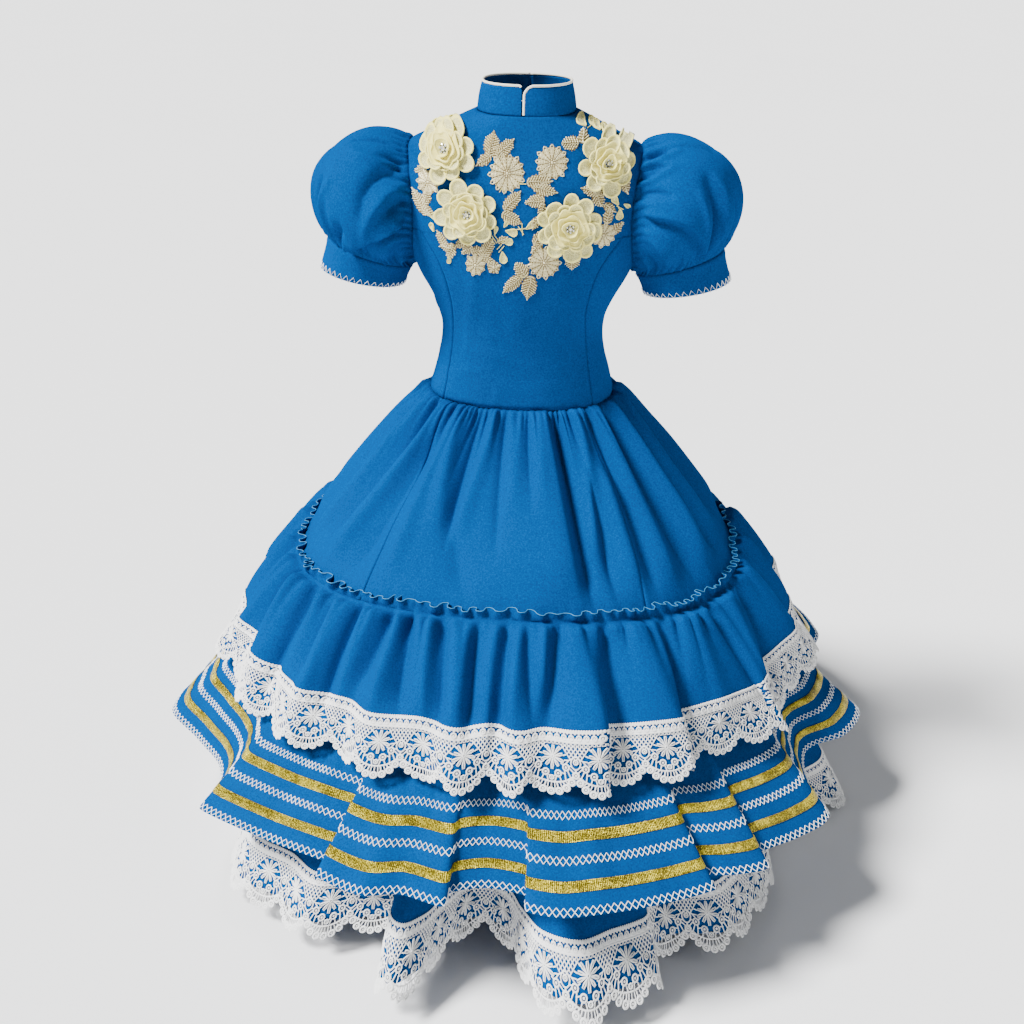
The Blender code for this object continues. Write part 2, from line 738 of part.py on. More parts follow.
def full_form():
    """The bodice's outer face without its facets."""
    heights = [(-272 + 302 * i / 90) * MM for i in range(91)]

    def point(i, j):
        return body_point(360 * i / 120, heights[j])

    grid = sheet_mesh(point, 120, 90, closed=True)
    face_outwards(grid, body_axis)
    return grid


def panel_faces(panels):
    outer = bmesh.new()
    for panel in panels:
        outer.from_mesh(panel.data)
    return outer


class Chest:
    """A face of the bodice, read to lay trim on it."""

    def __init__(self, outer):
        self.tree = BVHTree.FromBMesh(outer)
        outer.free()

    def frame(self, across, height):
        hit, normal, _, _ = self.tree.ray_cast(Vector((across, -1, height)), Vector((0, 1, 0)))
        if normal.y > 0:
            normal = -normal
        right = normal.cross(Vector((0, 0, -1))).normalized()
        return hit, right, normal.cross(right).normalized(), normal

    def lay(self, frame, across, along, out):
        """Point that far right and up from a frame's middle, out from the cloth."""
        middle, right, up, normal = frame
        start = middle + right * across + up * along
        hit, facing, _, _ = self.tree.ray_cast(start + normal * 40 * MM, -normal, 90 * MM)
        if hit is None:
            return start + normal * out
        if facing.dot(normal) < 0:
            facing = -facing
        return hit + facing * out


def rings_solid(rings, middles, material, name):
    """A closed solid through rings of points, with a fan to a middle point at each end."""
    solid = bmesh.new()
    loops = [[solid.verts.new(point) for point in ring] for ring in rings]
    for low, high in zip(loops, loops[1:]):
        for k in range(len(low)):
            follow = (k + 1) % len(low)
            solid.faces.new((low[k], low[follow], high[follow], high[k]))
    for loop, middle in zip((loops[0], loops[-1]), middles):
        centre = solid.verts.new(middle)
        for k in range(len(loop)):
            solid.faces.new((loop[k], loop[(k + 1) % len(loop)], centre))
    bmesh.ops.recalc_face_normals(solid, faces=solid.faces)
    return add_object(name, solid, material)


def make_flower(chest, name, across, height, radius, petals, material, steps):
    """Petals as a lobed outline, stepped up to the middle. steps: size share, lift, lobe."""
    frame = chest.frame(across * MM, height * MM)
    rings = []
    for size, lift, lobe in steps:
        ring = []
        for k in range(petals * 2):
            turn = math.tau * (k + 0.5) / (petals * 2)
            reach = radius * MM * size * (1.0 if k % 2 == 0 else 1 - lobe)
            ring.append(chest.lay(frame, reach * math.cos(turn), reach * math.sin(turn),
                                  lift * MM))
        rings.append(ring)
    middles = [chest.lay(frame, 0, 0, steps[end][1] * MM) for end in (0, -1)]
    rings_solid(rings, middles, material, name)


def make_leaf(chest, name, row, material):
    across, height, length, width, turn = row
    frame = chest.frame(across * MM, height * MM)
    tilt = math.radians(turn)
    outline = ((-0.5, 0), (-0.2, -0.4), (0.12, -0.5), (0.5, 0), (0.12, 0.5), (-0.2, 0.4))
    rings = []
    for lift, size in LEAF_STEPS:
        ring = []
        for along, aside in outline:
            x = along * length * size
            y = aside * width * size
            ring.append(chest.lay(frame, (x * math.cos(tilt) - y * math.sin(tilt)) * MM,
                                  (x * math.sin(tilt) + y * math.cos(tilt)) * MM, lift * MM))
        rings.append(ring)
    middles = [chest.lay(frame, 0, 0, lift * MM) for lift, _ in LEAF_STEPS]
    rings_solid(rings, middles, material, name)


def make_trim(panels, cream, beads):
    chest = Chest(full_form())
    panel_chest = Chest(panel_faces(panels))
    for name, across, height, radius, petals in FLOWERS:
        make_flower(chest, name, across, height, radius, petals, cream, FLOWER_STEPS)
    for number, row in enumerate(BEADED_FLOWERS, 1):
        make_flower(chest, f"beaded_flower_{number}", *row, beads, BEADED_STEPS)
    for number, row in enumerate(LEAVES, 1):
        make_leaf(panel_chest, f"beaded_leaf_{number:02d}", row, beads)


def main():
    clear_scene()
    cloth = make_material("blue_cloth", BLUE_CLOTH)
    lace = make_material("white_lace", WHITE_LACE)
    gold = make_material("gold_ribbon", GOLD_RIBBON, metallic=0.7)
    cream = make_material("cream_cloth", CREAM_CLOTH)
    beads = make_material("champagne_beads", CHAMPAGNE_BEAD, metallic=0.2)
    binding = make_material("cream_binding", CREAM_BINDING)
    panels = make_bodice(cloth)
    make_collar(cloth, binding)
    make_sleeves(cloth)
    make_skirt_top(cloth)
    make_upper_flounce(cloth, lace)
    make_under_layer(cloth)
    make_ribboned_flounce(cloth, gold)
    make_lower_flounce(cloth, lace)
    make_trim(panels, cream, beads)


main()
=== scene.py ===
"""Cloth, lace and trim of a child's escaramuza dress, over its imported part."""
import math

import bmesh
import bpy
import numpy as np
from mathutils import Matrix, Vector
from mathutils.bvhtree import BVHTree


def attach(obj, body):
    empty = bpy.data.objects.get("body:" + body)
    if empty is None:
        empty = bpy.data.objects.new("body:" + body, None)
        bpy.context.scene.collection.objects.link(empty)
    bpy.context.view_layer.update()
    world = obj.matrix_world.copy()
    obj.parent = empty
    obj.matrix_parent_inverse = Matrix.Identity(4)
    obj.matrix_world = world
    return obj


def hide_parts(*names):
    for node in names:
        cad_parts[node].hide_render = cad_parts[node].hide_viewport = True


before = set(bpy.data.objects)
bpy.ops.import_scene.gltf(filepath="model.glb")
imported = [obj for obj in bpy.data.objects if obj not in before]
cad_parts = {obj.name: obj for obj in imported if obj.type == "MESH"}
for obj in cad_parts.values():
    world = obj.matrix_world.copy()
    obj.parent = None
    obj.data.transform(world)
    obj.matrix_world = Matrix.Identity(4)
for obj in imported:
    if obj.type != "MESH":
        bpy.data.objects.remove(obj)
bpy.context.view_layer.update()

MM = 0.001
COLUMNS = np.newaxis
UP = np.array((0.0, 0.0, 1.0))
LEVEL = np.array((1.0, 1.0, 0.0))

# Sizes shared with the part. Heights in mm from the shoulder line.
# Bodice: height, half_width, front, back
BODY = (
    (-272, 103.5, 79, 72),
    (-240, 95.0, 77, 70),
    (-212, 89.5, 77, 70),
    (-186, 90.0, 79, 74),
    (-162, 99.0, 82, 77),
    (-137, 113.0, 84, 80),
    (-105, 127.0, 84, 81),
    (-70, 135.0, 82, 80),
    (-36, 135.0, 76, 74),
    (-13, 127.0, 69, 66),
    (-3, 120.0, 66, 63),
    (8, 98.0, 63, 59),
    (19, 75.0, 60, 55),
    (30, 51.2, 56, 51),
)
SQUARENESS = 0.87
ARMPIT = -132 * MM
SHOULDER_TIP = -3 * MM
ARMHOLE_MIDDLE = (ARMPIT + SHOULDER_TIP) / 2
ARMHOLE_HALF_HEIGHT = (SHOULDER_TIP - ARMPIT) / 2
ARMHOLE_HALF_DEPTH = 50 * MM
PRINCESS = ((-272, 82), (-212, 73), (-162, 71), (-120, 82), (-85, 104))
PRINCESS_TOP = -85 * MM
WAIST = -272 * MM

COLLAR_BASE = 30.5 * MM
COLLAR_TOP = 57.0 * MM
COLLAR_BASE_HALF = (51.2 * MM, 56 * MM, 51 * MM)
COLLAR_TOP_HALF = (46.0 * MM, 50 * MM, 46 * MM)
COLLAR_FRONT_SLIT = 4.0 * MM
COLLAR_CORNER = 8.0 * MM

# Rings of the sleeve: middle, half width, half depth and how much the outer side is raised, in mm
CUFF_TOP = {"middle": (167, -121), "half_width": 46, "half_depth": 44, "drop": 15}
CUFF_HEM = {"middle": (177.5, -149), "half_width": 46, "half_depth": 43, "drop": 9}
PUFF_MIDDLE = np.array((155, 0, -75)) * MM
CUFF_MIDDLE = np.array((171, 0, -134)) * MM
# How far the puff's first row is tucked into the armhole
PUFF_TUCK = 1.8 * MM

SIDE_DIP = 28 * MM
FRILL_SQUARENESS = 0.9
FRILL_RING = (258 * MM, 240 * MM, -438.5 * MM, FRILL_SQUARENESS)
STITCH_RING = (260.4 * MM, 242.4 * MM, -438.5 * MM, FRILL_SQUARENESS)
FRILL_HEIGHT = 14 * MM
UPPER_HEM = -569 * MM
UPPER_SWELL = 9 * MM
UPPER_LACE_FROM = 0.59
UNDER_TOP = (256.2 * MM, 238.2 * MM, -439.7 * MM, FRILL_SQUARENESS)
UNDER_MIDDLE = (290 * MM, 279.7 * MM, -520 * MM)
UNDER_BOTTOM = (300 * MM, 292 * MM, -546 * MM)
RIBBONED_TOP = (298.2 * MM, 289.4 * MM, -536 * MM)
RIBBONED_HEM = -649 * MM
LOWER_TOP = (300 * MM, 292 * MM, -546.8 * MM)
LOWER_HEM = -772 * MM
LOWER_LACE_FROM = 0.70
# Where the cloth ends behind the lace
UPPER_CLOTH_TO = 0.9
LOWER_CLOTH_TO = 0.915
LACE_WIDTH = 51.0
LACE_REPEAT = LACE_WIDTH * MM
RIBBON_BANDS = ((0.560, 0.620), (0.818, 0.878))
ZIGZAG_BANDS = ((0.453, 0.500), (0.692, 0.739), (0.952, 0.999))
# Zigzag stitching: its flat size in mm, and how far apart the stitches are sewn
ZIGZAG_WIDTH, ZIGZAG_HEIGHT = 12.0, 8.0
ZIGZAG_STEP = 14.6 * MM
CUFF_ZIGZAGS = 38
CUFF_ZIGZAG_BAND = (0.80, 1.02)

# Thickness of cloth
CLOTH_WALL = 0.8 * MM
COLLAR_WALL = 1.2 * MM
CUFF_WALL = 1.3 * MM
RIBBON_WALL = 0.5 * MM
PETAL_WALL = 0.35 * MM
FLOOR_HEIGHT = -0.803

# Folds at each flounce's lower edge: angle round the body, distance from the axis in mm
UPPER_FOLDS = (
    (-84, 351), (-76, 371), (-67, 350), (-53, 366), (-47, 349), (-38, 368), (-34, 353),
    (-28, 343), (-22, 364), (-11.5, 347), (-6, 366), (0, 345), (4, 363), (8, 351),
    (14, 363), (19, 367), (18.4, 350), (26, 356), (34.5, 366), (34.4, 348), (44, 346),
    (58, 370), (58.5, 350), (73, 347), (86, 372), (98, 352), (112, 370), (126, 350),
    (141, 369), (155, 349), (170, 368), (184, 350), (198, 369), (213, 349), (228, 370),
    (242, 351), (254, 369), (265, 353),
)
RIBBONED_FOLDS = (
    (-85, 408), (-76, 429), (-66, 402), (-56, 388), (-49, 412), (-47, 436), (-35, 417),
    (-25, 409), (-21.5, 411), (-23, 430), (-16, 437), (-11, 424), (-5, 431), (-4.6, 412),
    (0.5, 400), (6.6, 411), (5.8, 429), (11, 439), (21, 437), (31.5, 437), (31.6, 416),
    (36, 428), (41, 437), (41.5, 415), (50, 426), (57, 431), (62, 396), (72, 370),
    (80, 412), (88, 429), (101, 388), (112, 434), (126, 432), (139, 394), (151, 433),
    (165, 434), (177, 396), (189, 431), (202, 435), (215, 392), (228, 432), (242, 434),
    (254, 392), (265, 396),
)
LOWER_FOLDS = (
    (-85, 386), (-74, 378), (-65, 349), (-55, 385), (-45, 414), (-36, 404), (-29, 414),
    (-23.5, 384), (-17.5, 366), (-14.2, 380), (-14.2, 436), (-11.8, 456), (-9, 430),
    (-7.2, 380), (-2.5, 339), (3, 356), (6, 400), (8.5, 444), (13.5, 466), (18, 452),
    (24.5, 440), (25.5, 406), (31, 394), (38, 415), (46, 402), (55, 384), (66, 348),
    (75, 376), (84, 428), (95, 392), (104, 352), (114, 404), (123, 446), (132, 400),
    (143, 348), (153, 410), (162, 450), (170, 396), (180, 349), (190, 408), (200, 446),
    (210, 392), (221, 350), (231, 410), (241, 448), (251, 388), (262, 350), (270, 366),
)


# Shader values written as sums

class Signal:
    """A shader socket used as a number."""

    def __init__(self, look, socket):
        self.look = look
        self.socket = socket

    def __add__(self, other):
        return self.look.math("ADD", self, other)

    def __sub__(self, other):
        return self.look.math("SUBTRACT", self, other)

    def __mul__(self, other):
        return self.look.math("MULTIPLY", self, other)

    def __rsub__(self, other):
        return self.look.math("SUBTRACT", other, self)

    __radd__ = __add__
    __rmul__ = __mul__

    def sine(self):
        return self.look.math("SINE", self)

    def kept(self):
        """Held between 0 and 1."""
        return self.look.node("ShaderNodeClamp", {}, Value=self)


class Look:
    """One material and the nodes that make it."""

    def __init__(self, name, **constants):
        self.material = bpy.data.materials.new(name)
        self.material.use_nodes = True
        self.tree = self.material.node_tree
        self.shader = self.tree.nodes["Principled BSDF"]
        self.feed(self.shader, constants)

    def feed(self, node, values):
        for name, value in values.items():
            socket = node.inputs[int(name[1:])] if name[1:].isdigit() else node.inputs[name.replace("_", " ")]
            if isinstance(value, Signal):
                self.tree.links.new(value.socket, socket)
            elif isinstance(value, tuple) and len(value) == 3 and socket.type == "RGBA":
                socket.default_value = (*value, 1.0)
            else:
                socket.default_value = value

    def node(self, kind, settings, output=0, **values):
        node = self.tree.nodes.new(kind)
        for name, value in settings.items():
            setattr(node, name, value)
        self.feed(node, values)
        return Signal(self, node.outputs[output])

    def math(self, operation, first, second=0.0):
        return self.node("ShaderNodeMath", {"operation": operation}, _0=first, _1=second)

    def blend(self, share, low, high):
        """Colour from low to high."""
        return self.node("ShaderNodeMix", {"data_type": "RGBA"}, output=2,
                         _0=share, _6=low, _7=high)

    def place(self):
        return self.node("ShaderNodeTexCoord", {}, output="Object")

    def cloth_place(self):
        """Metres across and down the flat cloth."""
        flat = self.node("ShaderNodeUVMap", {"uv_map": "cloth"})
        parts = self.tree.nodes.new("ShaderNodeSeparateXYZ")
        self.tree.links.new(flat.socket, parts.inputs[0])
        return Signal(self, parts.outputs[0]), Signal(self, parts.outputs[1])

    def mottle(self, scale, detail):
        return self.node("ShaderNodeTexNoise", {}, Vector=self.place(), Scale=scale, Detail=detail)

    def finish(self, bump=None, depth=0.1 * MM, **values):
        if bump is not None:
            values["Normal"] = self.node("ShaderNodeBump", {}, Height=bump, Distance=depth,
                                         Strength=1.0)
        self.feed(self.shader, values)
        return self.material


def gabardine():
    look = Look("azure_gabardine", Sheen_Weight=0.10, Sheen_Roughness=0.35, Sheen_Tint=(0.0, 0.28, 1.0),
                Specular_IOR_Level=0.0)
    across, down = look.cloth_place()
    rib = ((across * 0.82 + down * 0.57) * (math.tau / (1.1 * MM))).sine()
    yarn = ((across * 0.3 - down * 0.95) * (math.tau / (0.8 * MM))).sine()
    grain = look.mottle(620.0, 3.0)
    cloud = look.mottle(9.0, 2.0)
    tone = (cloud * 0.4 + grain * 1.9 - 0.65 + rib * 0.07 + yarn * 0.04).kept()
    return look.finish(rib * 0.6 + yarn * 0.3 + grain * 1.8, 0.07 * MM,
                       Base_Color=look.blend(tone, (0.0, 0.032, 0.135), (0.0, 0.066, 0.252)),
                       Roughness=grain * 0.14 + 0.44)


def lace_cotton():
    look = Look("guipure_cotton", Sheen_Weight=0.15, Specular_IOR_Level=0.2)
    strand = look.mottle(1400.0, 3.0)
    cloud = look.mottle(60.0, 2.0)
    return look.finish(strand, 0.12 * MM,
                       Base_Color=look.blend(cloud, (0.80, 0.80, 0.79), (0.93, 0.93, 0.92)),
                       Roughness=strand * 0.2 + 0.7)


def zigzag_thread():
    look = Look("white_thread", Sheen_Weight=0.1, Specular_IOR_Level=0.35)
    twist = look.mottle(1900.0, 2.0)
    return look.finish(twist, 0.1 * MM,
                       Base_Color=look.blend(twist, (0.72, 0.78, 0.84), (0.90, 0.93, 0.95)),
                       Roughness=twist * 0.2 + 0.5)


def gold_lurex():
    look = Look("gold_lurex", Metallic=0.8, Specular_IOR_Level=0.5)
    across, down = look.cloth_place()
    warp = (across * (math.tau / (1.9 * MM))).sine()
    weft = (down * (math.tau / (1.2 * MM))).sine()
    # Speckle noise: it lightens the base colour in small spots as painted glints, together with the yarn's
    # own uneven tone. It also drives the bump and the roughness.
    tone_and_glint_speckle = look.mottle(700.0, 2.0)
    cloud = look.mottle(60.0, 3.0)
    tone = (tone_and_glint_speckle * 3.4 - 1.55 + cloud * 1.4 - 0.55 + warp * 0.22).kept()
    return look.finish(warp * 0.8 + weft * 0.5 + tone_and_glint_speckle * 2.0, 0.3 * MM,
                       Base_Color=look.blend(tone, (0.11, 0.082, 0.004), (0.96, 0.77, 0.05)),
                       Roughness=tone_and_glint_speckle * 0.3 + 0.2)


def overlock_thread():
    look = Look("overlock_thread", Specular_IOR_Level=0.3)
    twist = look.mottle(1500.0, 2.0)
    return look.finish(twist, 0.15 * MM,
                       Base_Color=look.blend(twist, (0.010, 0.10, 0.24), (0.06, 0.26, 0.50)),
                       Roughness=twist * 0.2 + 0.55)


def cream_piping():
    look = Look("cream_piping", Sheen_Weight=0.2, Specular_IOR_Level=0.3)
    weave = look.mottle(1200.0, 2.0)
    return look.finish(weave, 0.1 * MM,
                       Base_Color=look.blend(weave, (0.78, 0.73, 0.60), (0.92, 0.88, 0.76)),
                       Roughness=weave * 0.2 + 0.55)


# Uneven numbers that are the same each time

NO_REPEAT = 10 ** 6


def hashed(number, seed):
    """Between 0 and 1 for each whole number."""
    return np.modf(np.abs(np.sin(number * 12.9898 + seed * 78.233)) * 43758.5453)[0]


def uneven(along, seed, period=NO_REPEAT):
    """Smooth wave between -1 and 1 through a hashed value at each whole number."""
    low = np.floor(along)
    t = along - low
    t = t * t * (3 - 2 * t)
    start = hashed(low % period, seed)
    end = hashed((low + 1) % period, seed)
    return (start + (end - start) * t) * 2 - 1


def uneven_field(along, down, seed, period=NO_REPEAT):
    """The same over a surface."""
    low = np.floor(down)
    t = down - low
    t = t * t * (3 - 2 * t)
    start = uneven(along, seed + low * 3.7, period)
    end = uneven(along, seed + (low + 1) * 3.7, period)
    return start + (end - start) * t


def smooth_step(value, low, high):
    t = np.clip((value - low) / (high - low), 0, 1)
    return t * t * (3 - 2 * t)


# Shapes of the body and of rings round it

def table_value(table, at, column):
    rows = np.array(sorted(table), dtype=float) * MM
    x, y = rows[:, 0], rows[:, column]
    last = len(x) - 1
    before = np.maximum(np.arange(last + 1) - 1, 0)
    after = np.minimum(np.arange(last + 1) + 1, last)
    slope = (y[after] - y[before]) / (x[after] - x[before])
    at = np.clip(at, x[0], x[-1])
    index = np.clip(np.searchsorted(x, at) - 1, 0, last - 1)
    span = x[index + 1] - x[index]
    t = (at - x[index]) / span
    rise = t * t * (3 - 2 * t)
    return (y[index] * (1 - rise) + y[index + 1] * rise + t * (1 - t) ** 2 * span * slope[index]
            - t * t * (1 - t) * span * slope[index + 1])


def signed_power(value, power):
    return np.copysign(np.abs(value) ** power, value)


def stack(x, y, z):
    return np.stack(np.broadcast_arrays(x, y, z), axis=-1)


def squared_ring(angle, wide, front, back, height):
    turn = np.radians(angle)
    deep = np.where(np.cos(turn) > 0, front, back)
    return stack(wide * signed_power(np.sin(turn), SQUARENESS),
                 -deep * signed_power(np.cos(turn), SQUARENESS), height)


def body_point(angle, height):
    return squared_ring(angle, *(table_value(BODY, height, k) for k in (1, 2, 3)), height)


def princess_angle(height):
    share = table_value(PRINCESS, height, 1) / table_value(BODY, height, 1)
    return np.degrees(np.arcsin(np.minimum(share, 1.0) ** (1 / SQUARENESS)))


def armhole_angle(height, back=False):
    rise = np.clip((height - ARMHOLE_MIDDLE) / ARMHOLE_HALF_HEIGHT, -1, 1)
    deep = ARMHOLE_HALF_DEPTH * np.sqrt(1 - rise * rise)
    share = deep / table_value(BODY, height, 3 if back else 2)
    angle = np.degrees(np.arccos(np.minimum(share, 1.0) ** (1 / SQUARENESS)))
    return 180 - angle if back else angle


def armhole_point(turn):
    """Point round the right armhole: 0 is its top and 90 its front."""
    height = ARMHOLE_MIDDLE + ARMHOLE_HALF_HEIGHT * np.cos(np.radians(turn))
    front = body_point(armhole_angle(height), height)
    back = body_point(armhole_angle(height, back=True), height)
    return np.where((turn % 360 > 180)[..., COLUMNS], back, front)


def ring_point(ring, angle):
    half_width, half_depth, height, squareness = (*ring, 1.0)[:4]
    across, ahead = np.sin(np.radians(angle)), np.cos(np.radians(angle))
    return stack(half_width * signed_power(across, squareness),
                 -half_depth * signed_power(ahead, squareness), height - SIDE_DIP * across * across)


def unit(vectors):
    return vectors / np.maximum(np.linalg.norm(vectors, axis=-1, keepdims=True), 1e-12)


def outward(points):
    return unit(points * LEVEL)


def facing(points, closed=False, middle=None):
    """Unit normals of a sheet of points, away from its middle line."""
    across = np.gradient(points, axis=1)
    if closed:
        across[:, 0] = across[:, -1] = (points[:, 1] - points[:, -2]) / 2
    normals = unit(np.cross(across, np.gradient(points, axis=0)))
    away = points - middle if middle is not None else points * LEVEL
    return -normals if (normals * away).sum() < 0 else normals


def emboss(points, heights, closed=False, middle=None):
    return points + facing(points, closed, middle) * heights[..., COLUMNS]


def run_down(points):
    """Distance from the first row of a sheet, for each of its points."""
    steps = np.linalg.norm(np.diff(points, axis=0), axis=-1)
    return np.concatenate([np.zeros((1, points.shape[1])), np.cumsum(steps, axis=0)])


def gathers(turn, reach, count, depth, length, seed):
    """Crests pulled up at a seam. turn is the share of the way round, reach the distance off."""
    phase = turn * count + 0.42 * uneven(turn * count / 2, seed, count / 2)
    index = np.floor(phase) % count
    t = phase - np.floor(phase)
    crest = 1 - np.abs(2 * t - 1) ** 2.3
    run = length * (0.4 + 1.2 * hashed(index, seed + 1) ** 2)
    strength = 0.5 + 0.5 * hashed(index, seed + 2)
    return depth * (strength * crest * np.exp(-(reach / run) ** 1.5)
                    - 0.45 * np.exp(-(reach / length) ** 1.5))


def long_folds(table, angle, share):
    """Folds from a table: angle at the top, angle at the foot, half width in degrees, height
    in mm (less than 0 for a valley), share where it starts, share where it ends, and how much
    steeper its far side is."""
    total = np.zeros(np.broadcast(angle, share).shape)
    for top, foot, half, height, start, end, lean in table:
        middle = top + (foot - top) * share
        off = (angle - middle + 180) % 360 - 180
        wide = half * (1 - 0.65 * lean * np.sign(off))
        shape = np.exp(-np.abs(off / wide) ** (2.0 if height > 0 else 1.3))
        window = smooth_step(share, start, start + 0.2) * (1 - smooth_step(share, end - 0.3, end))
        total += height * MM * shape * window
    return total


def from_path(x, y, path):
    """Distance from a path in mm, signed by the side, and the share of the way along it."""
    lengths = [math.dist(start, end) for start, end in zip(path, path[1:])]
    gap = np.full(x.shape, np.inf)
    side = np.zeros(x.shape)
    along = np.zeros(x.shape)
    gone = 0.0
    for start, end, length in zip(path, path[1:], lengths):
        run = (end[0] - start[0]) / length, (end[1] - start[1]) / length
        step = np.clip((x - start[0]) * run[0] + (y - start[1]) * run[1], 0, length)
        off_x = x - start[0] - step * run[0]
        off_y = y - start[1] - step * run[1]
        off = np.hypot(off_x, off_y)
        near = off < gap
        side = np.where(near, np.sign(run[0] * off_y - run[1] * off_x), side)
        along = np.where(near, (gone + step) / sum(lengths), along)
        gap = np.minimum(gap, off)
        gone += length
    return gap * side, along


def lip(off, height, drop, wide):
    """Cloth that hangs over a crease: raised on one side of it and let down on the other."""
    rise = smooth_step(off, -2.0, 2.0)
    return (height * rise * np.exp(-np.maximum(off, 0) / wide)
            - drop * (1 - rise) * np.exp(-(np.minimum(off, 0) / 8) ** 2))


# Building pieces

def link(name, mesh, material):
    piece = bpy.data.objects.new(name, mesh)
    bpy.context.collection.objects.link(piece)
    mesh.materials.append(material)
    mesh.shade_smooth()
    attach(piece, "root")
    return piece


def add_wall(piece, thickness):
    shell = piece.modifiers.new("wall", "SOLIDIFY")
    shell.thickness = thickness
    shell.offset = -1.0


def weave_sheet(name, points, material, closed=False, wall=CLOTH_WALL, middle=None):
    """A thin shell of cloth through rows of points, with its flat size in metres as UV."""
    rows, columns = points.shape[0] - 1, points.shape[1] - 1
    width = np.linalg.norm(np.diff(points, axis=1), axis=-1).sum(axis=1).mean()
    length = np.linalg.norm(np.diff(points, axis=0), axis=-1).sum(axis=0).mean()
    sheet = bmesh.new()
    flat = sheet.loops.layers.uv.new("cloth")
    bmesh.ops.create_grid(sheet, x_segments=columns, y_segments=rows, size=1.0)
    sheet.verts.ensure_lookup_table()
    place = [(round((vertex.co.x + 1) / 2 * columns), round((vertex.co.y + 1) / 2 * rows))
             for vertex in sheet.verts]
    for face in sheet.faces:
        for loop in face.loops:
            i, j = place[loop.vert.index]
            loop[flat].uv = (i * width / columns, j * length / rows)
    for vertex, (i, j) in zip(sheet.verts, place):
        vertex.co = points[j, i]
    sheet.normal_update()
    sheet.verts.ensure_lookup_table()
    normals = facing(points, closed, middle)
    halfway = rows // 2 * (columns + 1) + columns // 2
    i, j = place[halfway]
    backwards = sheet.verts[halfway].normal.dot(Vector(normals[j, i])) < 0
    if closed:
        ends = [vertex for vertex, (i, j) in zip(sheet.verts, place) if i in (0, columns)]
        bmesh.ops.remove_doubles(sheet, verts=ends, dist=0.01 * MM)
    if backwards:
        bmesh.ops.reverse_faces(sheet, faces=sheet.faces)
    mesh = bpy.data.meshes.new(name)
    sheet.to_mesh(mesh)
    sheet.free()
    piece = link(name, mesh, material)
    add_wall(piece, wall)
    return piece


def panel(low, high, columns, heights):
    """Points of a bodice panel between two edges, each an angle for every height."""
    share = np.linspace(0, 1, columns + 1)
    start, end = (np.broadcast_to(edge(heights), heights.shape) for edge in (low, high))
    angle = start[:, COLUMNS] + (end - start)[:, COLUMNS] * share
    return angle, body_point(angle, heights[:, COLUMNS])


BODICE_MM_PER_DEGREE = 1.75
# Creases on the bodice: angle, height, turn in degrees, half length, half width, depth in mm
BODICE_CREASES = (
    (-62, -150, 62, 34, 5, 1.3), (-70, -172, 40, 26, 5, 1.2), (-55, -120, 75, 30, 4, 0.9),
    (60, -146, -58, 36, 5, 1.3), (68, -170, -38, 24, 5, 1.1), (50, -118, -78, 26, 4, 0.8),
    (-38, -236, 12, 30, 5, 0.7), (-20, -212, -7, 26, 6, 0.6), (34, -228, -14, 34, 5, 0.8),
    (12, -246, 5, 30, 5, 0.5), (56, -212, 18, 20, 5, 0.9), (-66, -216, -16, 20, 5, 0.9),
    (0, -150, 88, 40, 9, 0.8), (-22, -142, 70, 34, 7, 0.9), (22, -160, -80, 38, 8, 0.8),
    (-34, -196, 82, 30, 6, 0.6), (36, -192, -84, 34, 7, 0.7), (-10, -258, 80, 14, 5, 0.5),
    (130, -150, 50, 36, 6, 1.4), (118, -120, 70, 26, 5, 1.0), (150, -206, 10, 34, 6, 1.0),
    (165, -170, 82, 40, 8, 0.9), (172, -60, 78, 44, 9, 0.9), (140, -236, -8, 30, 5, 0.9),
    (-132, -148, -52, 34, 6, 1.3), (-120, -118, -72, 28, 5, 1.0), (-152, -214, -12, 32, 6, 0.9),
    (-160, -120, 84, 44, 8, 0.8), (-146, -64, 60, 30, 7, 0.8), (-172, -246, 6, 30, 5, 0.8),
    (112, -214, 14, 20, 5, 0.9), (-114, -220, -18, 22, 5, 0.9), (96, -250, 70, 14, 4, 0.7),
)


def creases(table, across, height):
    """Soft ridges laid one by one. across and height are metres over the cloth."""
    total = np.zeros(np.broadcast(across, height).shape)
    half_way = 180 * BODICE_MM_PER_DEGREE
    for angle, level, turn, half_length, half_width, depth in table:
        tilt = math.radians(turn)
        x = (across / MM - angle * BODICE_MM_PER_DEGREE + half_way) % (half_way * 2) - half_way
        y = height / MM - level
        along = (x * math.cos(tilt) + y * math.sin(tilt)) / half_length
        off = (y * math.cos(tilt) - x * math.sin(tilt)) / half_width
        shape = np.exp(-off * off) - 0.55 * np.exp(-(off - 1.5) ** 2)
        total += depth * MM * shape * np.exp(-along ** 4)
    return total


def bodice_relief(angle, height, points, seams):
    across = angle * BODICE_MM_PER_DEGREE * MM
    relief = creases(BODICE_CREASES, across, height)
    relief += 0.45 * MM * uneven_field(across / (31 * MM), height / (42 * MM), 3.0)
    relief += 0.16 * MM * uneven_field(across / (9 * MM), height / (12 * MM), 5.0)
    rib = np.linalg.norm(np.diff(points, axis=1), axis=-1)
    from_start = np.concatenate([np.zeros((len(rib), 1)), np.cumsum(rib, axis=1)], axis=1)
    for off, wanted in ((from_start, seams[0]), (from_start[:, -1:] - from_start, seams[1])):
        if wanted:
            pucker = 0.22 * MM * uneven(height / (5 * MM), 9.0 + wanted) * np.exp(-off / (6 * MM))
            relief += pucker * smooth_step(off, 0, 2 * MM)
            relief -= 0.9 * MM * np.exp(-(off / (1.3 * MM)) ** 2)
            relief += 0.25 * MM * np.exp(-((off - 3 * MM) / (1.6 * MM)) ** 2)
    foot = height - WAIST
    relief -= 0.5 * MM * np.exp(-(foot / (1.2 * MM)) ** 2)
    relief += 0.3 * MM * np.exp(-((foot - 5 * MM) / (2.5 * MM)) ** 2)
    return relief


